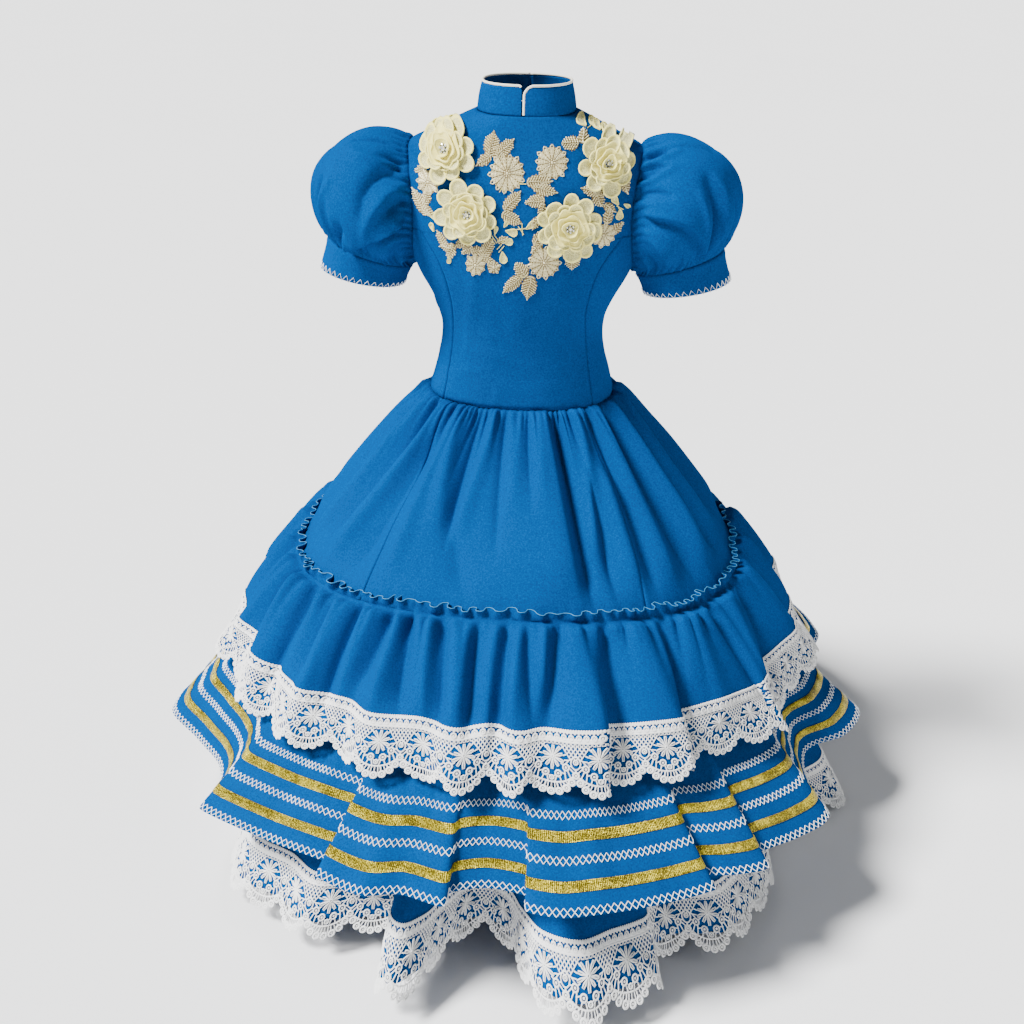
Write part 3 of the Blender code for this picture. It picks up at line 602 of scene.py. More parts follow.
def make_bodice(cloth):
    levels = np.array([row[0] * MM for row in BODY])
    heights = np.interp(np.linspace(0, len(BODY) - 1, (len(BODY) - 1) * 6 + 1),
                        np.arange(len(BODY)), levels)
    heights = np.unique(np.append(heights, PRINCESS_TOP).round(6))
    low_part = heights[heights <= PRINCESS_TOP + 1e-6]

    def front_edge(height):
        return np.where(height < PRINCESS_TOP, princess_angle(height), armhole_angle(height))

    def add(name, low, high, columns, heights, seams):
        angle, points = panel(low, high, columns, heights)
        level = np.broadcast_to(heights[:, COLUMNS], angle.shape)
        points = emboss(points, bodice_relief(angle, level, points, seams))
        return weave_sheet(name, points, cloth)

    pieces = [add("front_bodice", lambda z: -front_edge(z), front_edge, 96, heights, (1, 2))]
    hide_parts("bodice_front")
    for side, sign in (("left", -1), ("right", 1)):
        if sign > 0:
            edges = princess_angle, armhole_angle
            back = (lambda z: armhole_angle(z, back=True)), (lambda z: 180.0 + 0 * z)
        else:
            edges = (lambda z: -armhole_angle(z)), (lambda z: -princess_angle(z))
            back = (lambda z: -180.0 + 0 * z), (lambda z: -armhole_angle(z, back=True))
        order = (2, 3) if sign > 0 else (4, 1)
        piece = add(f"side_bodice_{side}", *edges, 30, low_part, order)
        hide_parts(f"bodice_side_front_{side}")
        pieces.append(piece)
        order = (3, 5) if sign > 0 else (5, 4)
        piece = add(f"back_bodice_{side}", *back, 60, heights, order)
        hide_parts(f"bodice_back_{side}")
        pieces.append(piece)
    return pieces


# Collar

def collar_point(angle, share):
    wide, front, back = (low + (high - low) * share
                         for low, high in zip(COLLAR_BASE_HALF, COLLAR_TOP_HALF))
    height = COLLAR_BASE + (COLLAR_TOP - COLLAR_BASE) * share
    return squared_ring(angle, wide, front, back, height)


def collar_slit_angle():
    return math.degrees(math.asin((COLLAR_FRONT_SLIT / 2 / COLLAR_BASE_HALF[0])
                                  ** (1 / SQUARENESS)))


def collar_top_share(angle, side):
    along = np.radians(angle - collar_slit_angle()) * COLLAR_TOP_HALF[1]
    corner = COLLAR_CORNER if side > 0 else COLLAR_CORNER * 0.4
    missing = np.clip(1 - along / corner, 0, 1)
    drop = corner * (1 - np.sqrt(1 - missing * missing))
    return 1 - drop / (COLLAR_TOP - COLLAR_BASE)


def make_collar(cloth, piping):
    share = np.linspace(0, 1, 17)[:, COLUMNS]
    angle = collar_slit_angle() + (180 - collar_slit_angle()) * np.linspace(0, 1, 91) ** 1.6
    for side, sign in (("left", -1), ("right", 1)):
        top = collar_top_share(angle, sign)
        points = collar_point(sign * angle, top * share)
        level = np.broadcast_to(share, points.shape[:2])
        bulge = 0.5 * MM * np.sin(np.pi * level) + 0.3 * MM * uneven_field(
            sign * angle / 17, level * 1.6, 12.0 + sign)
        bulge = bulge - 0.5 * MM * np.exp(-(level / 0.06) ** 2)
        points = emboss(points, bulge)
        piece = weave_sheet(f"stand_collar_{side}", points, cloth, wall=COLLAR_WALL)
        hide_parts(f"collar_{side}")
        edge = collar_point(sign * angle, top) - outward(points[-1]) * 0.6 * MM
        inward = np.array((-sign, 0.0, 0.0))
        corner = np.clip(1 - np.radians(angle - angle[0]) * COLLAR_TOP_HALF[1] / COLLAR_CORNER,
                         0, 1)[:, COLUMNS] * (sign > 0)
        lean = unit(UP * (1 - corner) + inward * corner)
        route = edge + lean * 1.3 * MM
        if sign > 0:
            slit = collar_point(angle[:1], top[:1] * np.linspace(0.04, 0.9, 14))
            slit = slit - outward(slit) * 0.6 * MM
            route = np.concatenate([slit + inward * 1.3 * MM, route])
        else:
            route = route[3:]
        cord = tube(f"piping_{side}", route, 1.25 * MM, piping, sides=10)
        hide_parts(f"collar_binding_{side}")


def tube(name, route, radius, material, sides=8, closed=False):
    """A round cord along a route of points."""
    count = len(route)
    along = np.gradient(route, axis=0)
    if closed:
        along[0] = along[-1] = route[1] - route[-2]
    along = unit(along)
    first = unit(np.cross(along, outward(route)))
    second = np.cross(along, first)
    turn = np.linspace(0, math.tau, sides + 1)
    rings = (route[:, COLUMNS] + radius * (first[:, COLUMNS] * np.cos(turn)[:, COLUMNS]
                                           + second[:, COLUMNS] * np.sin(turn)[:, COLUMNS]))
    body = bmesh.new()
    bmesh.ops.create_grid(body, x_segments=sides, y_segments=count - 1, size=1.0)
    for vertex in body.verts:
        i = round((vertex.co.x + 1) / 2 * sides)
        j = round((vertex.co.y + 1) / 2 * (count - 1))
        vertex.co = rings[j, i]
    bmesh.ops.remove_doubles(body, verts=body.verts, dist=0.001 * MM)
    bmesh.ops.holes_fill(body, edges=[edge for edge in body.edges if edge.is_boundary], sides=0)
    bmesh.ops.recalc_face_normals(body, faces=body.faces)
    mesh = bpy.data.meshes.new(name)
    body.to_mesh(mesh)
    body.free()
    return link(name, mesh, material)


# Sleeves

def cuff_point(ring, turn):
    around = np.radians(turn)
    out = np.cos(around)
    return stack(ring["middle"][0] + ring["half_width"] * out,
                 -ring["half_depth"] * np.sin(around),
                 ring["middle"][1] + ring["drop"] * out) * MM


def puff_point(turn, share):
    """The right sleeve's puff: 0 degrees is outermost, 90 the front."""
    start = armhole_point(turn) + np.array((0.4, 0, 0)) * MM
    end = cuff_point(CUFF_TOP, turn)
    around = np.radians(turn)
    top = (1 + np.cos(around)) / 2
    side = np.sin(around)
    swell_start = start + stack(6 + 38 * top, -34 * side, 1 + 33 * top) * MM
    swell_end = end + stack(1 + 43 * top, -36 * side, 5 + 79 * top) * MM
    return ((1 - share) ** 3 * start + 3 * share * (1 - share) ** 2 * swell_start
            + 3 * share * share * (1 - share) * swell_end + share ** 3 * end)


PUFF_MM_PER_DEGREE = 1.35
# Folds of a puff. Each is a path of (turn, share down it), a height in mm (less than 0 for a
# valley) and a half width in mm
PUFF_FOLDS = {
    "left": (
        (((52, 0.02), (60, 0.15), (66, 0.28), (76, 0.42), (84, 0.50)), -6.0, 9),
        (((82, 0.02), (89, 0.16), (94, 0.28)), -6.5, 5),
        (((70, 0.04), (78, 0.20), (90, 0.40), (96, 0.56)), 4.0, 7),
        (((77, 0.78), (69, 0.87), (62, 0.97)), -9.0, 5),
        (((62, 0.02), (53, 0.20), (42, 0.33), (31, 0.38)), 3.6, 4),
        (((48, 0.02), (44, 0.18)), -4.5, 5),
        (((34, 0.02), (27, 0.20), (22, 0.36)), -3.4, 3),
        (((46, 0.60), (44, 0.78), (48, 0.95)), 4.0, 7),
        (((30, 0.66), (28, 0.84), (32, 0.98)), -6.0, 5),
        (((14, 0.55), (10, 0.76), (14, 0.95)), 4.0, 8),
        (((120, 0.30), (124, 0.52), (118, 0.76)), 3.4, 8),
        (((138, 0.40), (142, 0.62), (136, 0.86)), -4.0, 6),
        (((-6, 0.60), (-10, 0.80), (-6, 0.97)), -6.0, 5),
        (((-22, 0.10), (-30, 0.34), (-34, 0.52)), -4.0, 8),
        (((-30, 0.62), (-34, 0.80), (-30, 0.95)), 4.4, 7),
        (((-52, 0.04), (-58, 0.22), (-64, 0.40)), -5.0, 7),
        (((-56, 0.66), (-60, 0.84), (-54, 0.97)), -7.0, 5),
        (((-78, 0.30), (-84, 0.56), (-80, 0.80)), 4.4, 8),
        (((-98, 0.20), (-106, 0.48), (-100, 0.78)), -5.0, 6),
        (((-122, 0.36), (-128, 0.60), (-124, 0.84)), 3.6, 8),
        (((-146, 0.44), (-150, 0.70)), -4.0, 6),
    ),
    "right": (
        (((47, 0.52), (53, 0.66), (60, 0.80), (67, 0.97)), -11.0, 8),
        (((38, 0.52), (42, 0.68), (49, 0.86)), 4.0, 5),
        (((60, 0.50), (67, 0.66), (75, 0.84)), 3.2, 5),
        (((70, 0.02), (70, 0.14), (71, 0.30)), -5.0, 4),
        (((30, 0.02), (25, 0.16), (18, 0.30), (12, 0.40)), 3.6, 4),
        (((36, 0.02), (33, 0.16)), -5.0, 4),
        (((44, 0.02), (40, 0.14), (30, 0.24)), 3.6, 4),
        (((53, 0.02), (51, 0.16)), -5.0, 6),
        (((62, 0.02), (58, 0.14), (48, 0.24)), 3.4, 4),
        (((24, 0.62), (20, 0.80), (24, 0.97)), -5.0, 5),
        (((6, 0.50), (2, 0.72), (6, 0.95)), 4.0, 8),
        (((108, 0.26), (114, 0.50), (110, 0.78)), 3.6, 8),
        (((130, 0.36), (134, 0.60), (128, 0.88)), -5.0, 6),
        (((-14, 0.62), (-18, 0.82), (-14, 0.97)), -6.0, 5),
        (((-26, 0.06), (-32, 0.26), (-40, 0.44)), -4.4, 8),
        (((-36, 0.60), (-42, 0.78), (-38, 0.95)), 4.4, 7),
        (((-62, 0.06), (-66, 0.24), (-74, 0.46)), -5.0, 7),
        (((-66, 0.64), (-72, 0.82), (-66, 0.97)), -7.0, 5),
        (((-88, 0.26), (-94, 0.54), (-88, 0.80)), 4.4, 8),
        (((-112, 0.24), (-118, 0.50), (-112, 0.80)), -5.0, 6),
        (((-138, 0.40), (-142, 0.66)), 3.4, 8),
    ),
}
# Where each puff hangs over its own crease: path, height, drop and reach in mm
PUFF_LIPS = {
    "left": (
        (((100, 0.04), (108, 0.20), (111, 0.34), (111, 0.52), (105, 0.72), (93, 0.88), (80, 0.95),
          (66, 0.975)), 9.0, 8.0, 24),
        (((-118, 0.06), (-124, 0.30), (-120, 0.62), (-104, 0.86), (-84, 0.96)), 4.5, 3.0, 22),
    ),
    "right": (
        (((90, 0.10), (91, 0.28), (88, 0.44), (84, 0.58), (81, 0.72), (76, 0.86), (70, 0.95)),
         7.0, 4.5, 22),
        (((-112, 0.08), (-118, 0.30), (-114, 0.60), (-98, 0.86), (-78, 0.96)), 4.5, 3.0, 22),
    ),
}


def puff_relief(turn, share, points, side):
    reach = run_down(points)
    total = reach[-1:]
    way = (turn / 360) % 1.0
    top = (1 + np.cos(np.radians(turn))) / 2
    seed = 21.0 if side == "left" else 27.0
    relief = gathers(way, reach, 44, 8.0 * MM, 26 * MM, seed) * (0.35 + 0.65 * top)
    relief += gathers(way, reach, 92, 1.6 * MM, 9 * MM, seed + 5)
    relief += gathers(way, total - reach, 40, 6.6 * MM, 17 * MM, seed + 9)
    relief += gathers(way, total - reach, 84, 1.6 * MM, 7 * MM, seed + 13)

    def flat(path):
        first = path[0][0]
        x = ((turn - first + 180) % 360 - 180 + first) * PUFF_MM_PER_DEGREE
        lengths = np.interp([angle % 360 for angle, level in path], turn[0], total[0]) / MM
        points = [(angle * PUFF_MM_PER_DEGREE, level * length)
                  for (angle, level), length in zip(path, lengths)]
        return x, share * total / MM, points

    for path, height, half in PUFF_FOLDS[side]:
        off, along = from_path(*flat(path))
        shape = np.exp(-np.abs(off / half) ** (2.0 if height > 0 else 1.5))
        relief += 1.2 * height * MM * shape * (0.55 + 0.45 * np.sin(np.pi * along))
    for path, height, drop, wide in PUFF_LIPS[side]:
        off, along = from_path(*flat(path))
        ends = smooth_step(along, 0, 0.12) * (1 - smooth_step(along, 0.9, 1.0))
        sense = np.sign(path[0][0])
        relief += lip(off * sense, height, drop, wide) * ends * MM
    relief += 0.7 * MM * uneven_field(way * 14, share * 4, seed + 2, 14)
    return relief * smooth_step(share, 0, 0.03) * smooth_step(1 - share, 0, 0.025)


def make_sleeves(cloth, thread):
    turn = np.linspace(0, 360, 253)[COLUMNS]
    share = np.linspace(0, 1, 51)[:, COLUMNS]
    for side, sign in (("left", -1), ("right", 1)):
        flip = np.array((sign, 1.0, 1.0))
        points = puff_point(turn, share[..., COLUMNS])
        level = np.broadcast_to(share, points.shape[:2])
        relief = puff_relief(np.broadcast_to(turn, level.shape), level, points, side)
        points = emboss(points, relief, True, PUFF_MIDDLE)
        points[0, :, 0] -= PUFF_TUCK
        points = points * flip
        puff = weave_sheet(f"puff_{side}", points, cloth, closed=True, middle=PUFF_MIDDLE * flip)
        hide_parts(f"sleeve_puff_{side}")
        rows = np.linspace(0, 1, 13)[:, COLUMNS, COLUMNS]
        turns = turn[:, ::2]
        top = cuff_point(CUFF_TOP, turns)
        hem = cuff_point(CUFF_HEM, turns)
        points = top + (hem - top) * rows
        level = np.broadcast_to(rows[..., 0], points.shape[:2])
        way = np.broadcast_to(turns / 360, level.shape)
        relief = 0.5 * MM * uneven_field(way * 9, level * 2, 33.0 + sign, 9)
        relief += 0.7 * MM * np.exp(-((level - 0.12) / 0.08) ** 2)
        relief -= 0.6 * MM * np.exp(-(level / 0.05) ** 2)
        points = emboss(points, relief, True, CUFF_MIDDLE) * flip
        cuff = weave_sheet(f"cuff_{side}", points, cloth, closed=True, wall=CUFF_WALL,
                           middle=CUFF_MIDDLE * flip)
        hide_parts(f"sleeve_cuff_{side}")
        strip = Strip(points, middle=CUFF_MIDDLE * flip)
        rows = zigzag_row(f"cuff_zigzag_{side}", strip, CUFF_ZIGZAGS, *CUFF_ZIGZAG_BAND, thread, threads=1)


# Bands laid on cloth

class Strip:
    """A sheet of points that trim is laid on, by shares across and down it."""

    def __init__(self, points, levels=None, middle=None):
        self.points = points
        self.normals = facing(points, True, middle)
        self.levels = np.linspace(0, 1, len(points)) if levels is None else np.array(levels)

    def at(self, across, down, lift):
        columns = self.points.shape[1] - 1
        x = across % 1.0 * columns
        i = np.clip(np.floor(x).astype(int), 0, columns - 1)
        y = np.interp(down, self.levels, np.arange(len(self.levels)))
        j = np.clip(np.floor(y).astype(int), 0, len(self.levels) - 2)
        s = (x - i)[:, COLUMNS]
        t = (y - j)[:, COLUMNS]

        def read(field):
            return ((field[j, i] * (1 - s) + field[j, i + 1] * s) * (1 - t)
                    + (field[j + 1, i] * (1 - s) + field[j + 1, i + 1] * s) * t)

        past = (down - self.levels[-1])[:, COLUMNS].clip(0, None)
        run = (self.points[-1] - self.points[-2]) / (self.levels[-1] - self.levels[-2])
        drop = run[i] * (1 - s) + run[i + 1] * s
        return read(self.points) + unit(read(self.normals)) * lift[:, COLUMNS] + drop * past


class Motif:
    """A flat piece of thread work in mm: x across, y down, z out from the cloth."""

    def __init__(self):
        self.work = bmesh.new()

    def cord(self, path, width, height, closed=False):
        """A flat-bottomed cord along a path of (x, y)."""
        points = [Vector((x, y, 0)) for x, y in path]
        count = len(points)
        steps = count if closed else count - 1
        before = set(self.work.verts)
        bmesh.ops.create_grid(self.work, x_segments=steps, y_segments=2, size=1.0)
        fresh = [vertex for vertex in self.work.verts if vertex not in before]
        for vertex in fresh:
            i = round((vertex.co.x + 1) / 2 * steps)
            j = round(vertex.co.y + 1)
            if closed:
                low, high = points[(i - 1) % count], points[(i + 1) % count]
            else:
                low, high = points[max(i - 1, 0)], points[min(i + 1, count - 1)]
            along = (high - low).normalized()
            side = Vector((-along.y, along.x, 0)) * (j - 1) * width / 2
            vertex.co = points[i % count] + side + Vector((0, 0, height if j == 1 else 0.0))
        if closed:
            bmesh.ops.remove_doubles(self.work, verts=fresh, dist=0.001)

    def ring(self, x, y, radius, width, height, sides=9, tall=1.0):
        path = [(x + radius * math.cos(math.tau * k / sides),
                 y + radius * tall * math.sin(math.tau * k / sides)) for k in range(sides)]
        self.cord(path, width, height, closed=True)

    def petal(self, x, y, turn, start, length, half, width, height, steps=7):
        """A teardrop loop that leaves (x, y) in a direction."""
        path = []
        for k in range(steps):
            t = k / (steps - 1) * 2 - 1
            reach = start + (length - start) * (1 - abs(t) ** 1.6)
            aside = half * math.sin(math.pi * t) * (1 - 0.35 * abs(t))
            path.append((x + reach * math.cos(turn) - aside * math.sin(turn),
                         y + reach * math.sin(turn) + aside * math.cos(turn)))
        self.cord(path, width, height)

    def bead(self, x, y, radius, height, sides=6, stretch=1.0, turn=0.0):
        dome = bmesh.ops.create_circle(self.work, cap_ends=True, cap_tris=True, segments=sides,
                                       radius=radius)["verts"]
        for vertex in dome:
            inner = vertex.co.length < radius / 2
            along, aside = vertex.co.x * stretch, vertex.co.y
            vertex.co = Vector((x + along * math.cos(turn) - aside * math.sin(turn),
                                y + along * math.sin(turn) + aside * math.cos(turn),
                                height if inner else 0.1))

    def dome(self, outline, middle, height, ground=0):
        """A low mound inside an outline."""
        rim = bmesh.ops.create_circle(self.work, cap_ends=True, segments=len(outline),
                                      radius=1.0)["verts"]
        for vertex, (x, y) in zip(rim, outline):
            vertex.co = Vector((x, y, 0.0))
        face = rim[0].link_faces[0]
        inner = bmesh.ops.inset_region(self.work, faces=[face], thickness=0.5, depth=0.0)["faces"]
        top = bmesh.ops.poke(self.work, faces=[face])["verts"]
        for vertex in {corner for side in inner for corner in side.verts} - set(rim):
            vertex.co.z = height
        for vertex in top:
            vertex.co = Vector((*middle, height * 1.3))
        for side in {side for vertex in rim + top for side in vertex.link_faces}:
            side.material_index = ground

    def repeated(self, name, count, step, material):
        """The motif side by side, flat, as one piece."""
        mesh = bpy.data.meshes.new(name)
        self.work.to_mesh(mesh)
        self.work.free()
        flat = bpy.data.objects.new(name + "_flat", mesh)
        bpy.context.collection.objects.link(flat)
        row = flat.modifiers.new("repeats", "ARRAY")
        row.count = count
        row.use_relative_offset = False
        row.use_constant_offset = True
        row.constant_offset_displace = (step, 0, 0)
        bpy.context.view_layer.update()
        done = bpy.data.meshes.new_from_object(flat.evaluated_get(bpy.context.evaluated_depsgraph_get()))
        bpy.data.objects.remove(flat)
        done.name = name
        return link(name, done, material)


def wrap(piece, strip, width, start, end, height, lift, first=0.0):
    """Lays a flat piece on a strip. width and height are its flat size in mm; start and end
    are the strip's shares for its top and its foot."""
    mesh = piece.data
    flat = np.empty(len(mesh.vertices) * 3)
    mesh.vertices.foreach_get("co", flat)
    flat = flat.reshape(-1, 3)
    down = start + (end - start) * flat[:, 1] / height
    laid = strip.at(first + flat[:, 0] / width, down, (flat[:, 2] + lift) * MM)
    mesh.vertices.foreach_set("co", laid.ravel())
    mesh.update()


def zigzag_row(name, strip, count, start, end, material, threads=2):
    """One thread between two lines, or two that cross."""
    motif = Motif()
    for low, high in ((0.0, ZIGZAG_HEIGHT), (ZIGZAG_HEIGHT, 0.0))[:threads]:
        near_low = low * 0.75 + high * 0.25
        near_high = low * 0.25 + high * 0.75
        motif.cord(((0.0, low), (1.5, near_low), (4.5, near_high), (6.0, high)), 0.7, 0.75)
        motif.cord(((6.0, high), (7.5, near_high), (10.5, near_low), (12.0, low)), 0.7, 0.75)
    row = motif.repeated(name, count, ZIGZAG_WIDTH, material)
    wrap(row, strip, ZIGZAG_WIDTH * count, start, end, ZIGZAG_HEIGHT, 0.25)
    return row


# Skirt

class Flounce:
    """A gathered strip between a top ring and a folded lower edge."""

    def __init__(self, folds, top_ring, bottom, swell=0.0):
        self.folds = folds
        self.count = len(folds)
        self.top_ring = top_ring
        self.swell = swell
        self.edge = [np.array(ring_point((radius * MM, radius * MM, bottom), angle))
                     for angle, radius in folds]
        self.top_angles = [self.eased_angle(index) for index in range(self.count)]
        self.places, self.length = self.even_places(self.count * 24)

    def eased_angle(self, index):
        total = 0.0
        for offset, weight in ((-2, 1), (-1, 3), (0, 4), (1, 3), (2, 1)):
            turns, place = divmod(index + offset, self.count)
            total += weight * (self.folds[place][0] + 360 * turns)
        return total / 12

    def edge_point(self, place):
        index = math.floor(place)
        t = place - index
        before, start, end, after = (self.edge[(index + k) % self.count] for k in (-1, 0, 1, 2))
        length = np.linalg.norm(end - start)
        leave = unit(end - before) * min(length, np.linalg.norm(start - before))
        arrive = unit(after - start) * min(length, np.linalg.norm(after - end))
        rise = t * t * (3 - 2 * t)
        return (start * (1 - rise) + end * rise
                + leave * (t * (1 - t) ** 2) - arrive * (t * t * (1 - t)))

    def top_angle(self, place):
        return np.interp(place, np.arange(self.count + 1),
                         self.top_angles + [self.top_angles[0] + 360])

    def even_places(self, count):
        steps = np.linspace(0, self.count, self.count * 16 + 1)
        points = np.array([self.edge_point(step) for step in steps])
        lengths = np.concatenate([[0], np.cumsum(np.linalg.norm(np.diff(points, axis=0), axis=1))])
        return np.interp(np.linspace(0, lengths[-1], count + 1), lengths, steps), lengths[-1]

    def sheet(self, columns, shares):
        """Points of the cloth, with the angle at the top for each column."""
        places, _ = self.even_places(columns)
        edge = np.array([self.edge_point(place) for place in places])
        angle = self.top_angle(places)
        top = ring_point(self.top_ring, angle)
        share = np.array(shares)[:, COLUMNS, COLUMNS]
        points = top + (edge - top) * share
        return points + outward(points) * self.swell * 4 * share * (1 - share), angle


# Folds of the first tier: angle at the waist, angle at the frill, half width in degrees,
# height in mm, share where it starts and ends, and how much steeper the far side is
TOP_FOLDS = (
    (-86, -88, 5, 7, 0.0, 1.0, 0), (-62, -76, 4.5, 8, -0.1, 1.0, 0), (-52, -66, 4, -7, -0.1, 1.0, 0),
    (-42, -56, 4.5, 9, -0.1, 1.0, 0.2), (-36, -43, 4.5, -7, 0.08, 1.0, 0), (-31, -29, 3, 4, 0.0, 1.0, 0),
    (-29, -12, 3.4, 5, -0.1, 0.75, 0.3), (-18, -15, 2.6, -8, -0.1, 0.8, 0),
    (-28, -5.6, 2.6, -4, 0.45, 1.1, 0),
    (-8, -19, 3, 5, -0.1, 0.8, -0.3), (-4, -1, 1.8, -4.6, -0.1, 0.8, 0), (1, -0.5, 2.4, 3, -0.1, 0.6, 0),
    (5, 7, 1.6, -4, -0.1, 0.55, 0), (9, 10, 2.4, 3, -0.1, 0.55, 0), (14, 16.5, 5, 7, -0.1, 1.0, 0.8),
    (19.5, 20.5, 2.2, -10, -0.1, 1.05, 0), (33.5, 19, 3.2, 6, -0.1, 0.8, -0.3),
    (29.5, 26.5, 2, -7, 0.3, 1.0, 0), (36, 33, 3, 6, 0.2, 1.0, 0), (43, 39, 2.6, -7, -0.1, 1.0, 0),
    (49, 46, 4, 7, -0.1, 1.0, 0.3), (57, 55, 3, -7, -0.1, 1.0, 0), (66, 64, 4, 8, -0.1, 1.0, 0),
    (75, 74, 3, -6, 0.0, 1.0, 0), (84, 83, 5, 7, -0.1, 1.0, 0.2), (94, 93, 3, -6, -0.1, 0.9, 0),
    (103, 101, 5, 8, -0.1, 1.0, -0.2), (113, 114, 3, -6, 0.0, 1.0, 0), (122, 124, 4, 6, -0.1, 0.9, 0),
    (132, 132, 3, -7, -0.1, 1.0, 0), (142, 144, 5, 8, -0.1, 1.0, 0.3), (152, 151, 3, -5, 0.0, 0.9, 0),
    (161, 160, 4, 6, -0.1, 1.0, 0), (171, 172, 3, -6, -0.1, 1.0, 0), (187, 185, 4.5, 8, -0.1, 1.0, -0.2),
    (197, 198, 3, -6, 0.0, 0.9, 0), (206, 208, 4, 6, -0.1, 1.0, 0), (216, 215, 3, -7, -0.1, 1.0, 0),
    (226, 224, 5, 8, -0.1, 0.95, 0.2), (236, 237, 3, -5, -0.1, 1.0, 0), (245, 247, 4, 6, 0.0, 1.0, 0),
    (254, 254, 3, -6, -0.1, 1.0, 0), (264, 265, 3.5, 5, -0.1, 0.9, 0),
)
SEAM_AT_WAIST = 40.0
SEAM_AT_FRILL = 34.0


def make_skirt_top(cloth):
    share = np.concatenate([np.linspace(0, 0.3, 19)[:-1], np.linspace(0.3, 1, 22)])
    seam = SEAM_AT_WAIST + (SEAM_AT_FRILL - SEAM_AT_WAIST) * share
    half = 180.0 + 0 * share
    panels = {"front": (-seam, seam, 180), "right": (seam, half, 250), "left": (-half, -seam, 250)}
    for side, (low, high, columns) in panels.items():
        across = np.linspace(0, 1, columns + 1)
        angle = low[:, COLUMNS] + (high - low)[:, COLUMNS] * across
        level = np.broadcast_to(share[:, COLUMNS], angle.shape)
        top = body_point(angle, WAIST)
        points = top + (ring_point(FRILL_RING, angle) - top) * (level ** 0.94)[..., COLUMNS]
        points[..., 2] = WAIST + 0.6 * MM + (ring_point(FRILL_RING, angle)[..., 2] - WAIST) * level
        reach = run_down(points)
        way = (angle / 360) % 1.0
        relief = gathers(way, reach, 112, 5.4 * MM, 26 * MM, 41.0)
        relief += gathers(way, reach, 52, 6.4 * MM, 62 * MM, 47.0)
        relief += (1.25 - 0.85 * smooth_step(level, 0.78, 1)) * long_folds(TOP_FOLDS, angle, level)
        turned = np.radians(angle)
        relief += 2.4 * MM * (np.sin(turned * 11 + 0.7) + 0.6 * np.sin(turned * 7)) * np.sin(
            np.pi * np.minimum(level * 0.8, 0.5)) * (1 - level ** 4)
        relief += 0.8 * MM * uneven_field(way * 60, level * 5, 51.0, 60) * smooth_step(level, 0, 0.3)
        relief += gathers(way, reach[-1:] - reach, 96, 1.6 * MM, 14 * MM, 53.0)
        relief *= 0.25 + 0.75 * smooth_step(level, 0, 0.03)
        relief -= 1.3 * MM * (1 - smooth_step(level, 0, 0.022))
        step = np.linalg.norm(points[:, 1] - points[:, 0], axis=-1)[:, COLUMNS]
        for off in (np.arange(columns + 1) * step, np.arange(columns, -1, -1) * step):
            relief -= 0.9 * MM * np.exp(-(off / (1.4 * MM)) ** 2)
            relief += 0.3 * MM * np.exp(-((off - 3.4 * MM) / (1.8 * MM)) ** 2)
        points = emboss(points, relief)
        piece = weave_sheet(f"first_tier_{side}", points, cloth)
        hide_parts(f"skirt_top_{side}")
        width = 0.36 if side == "front" else 0.68
        width * 0.225 * 0.86


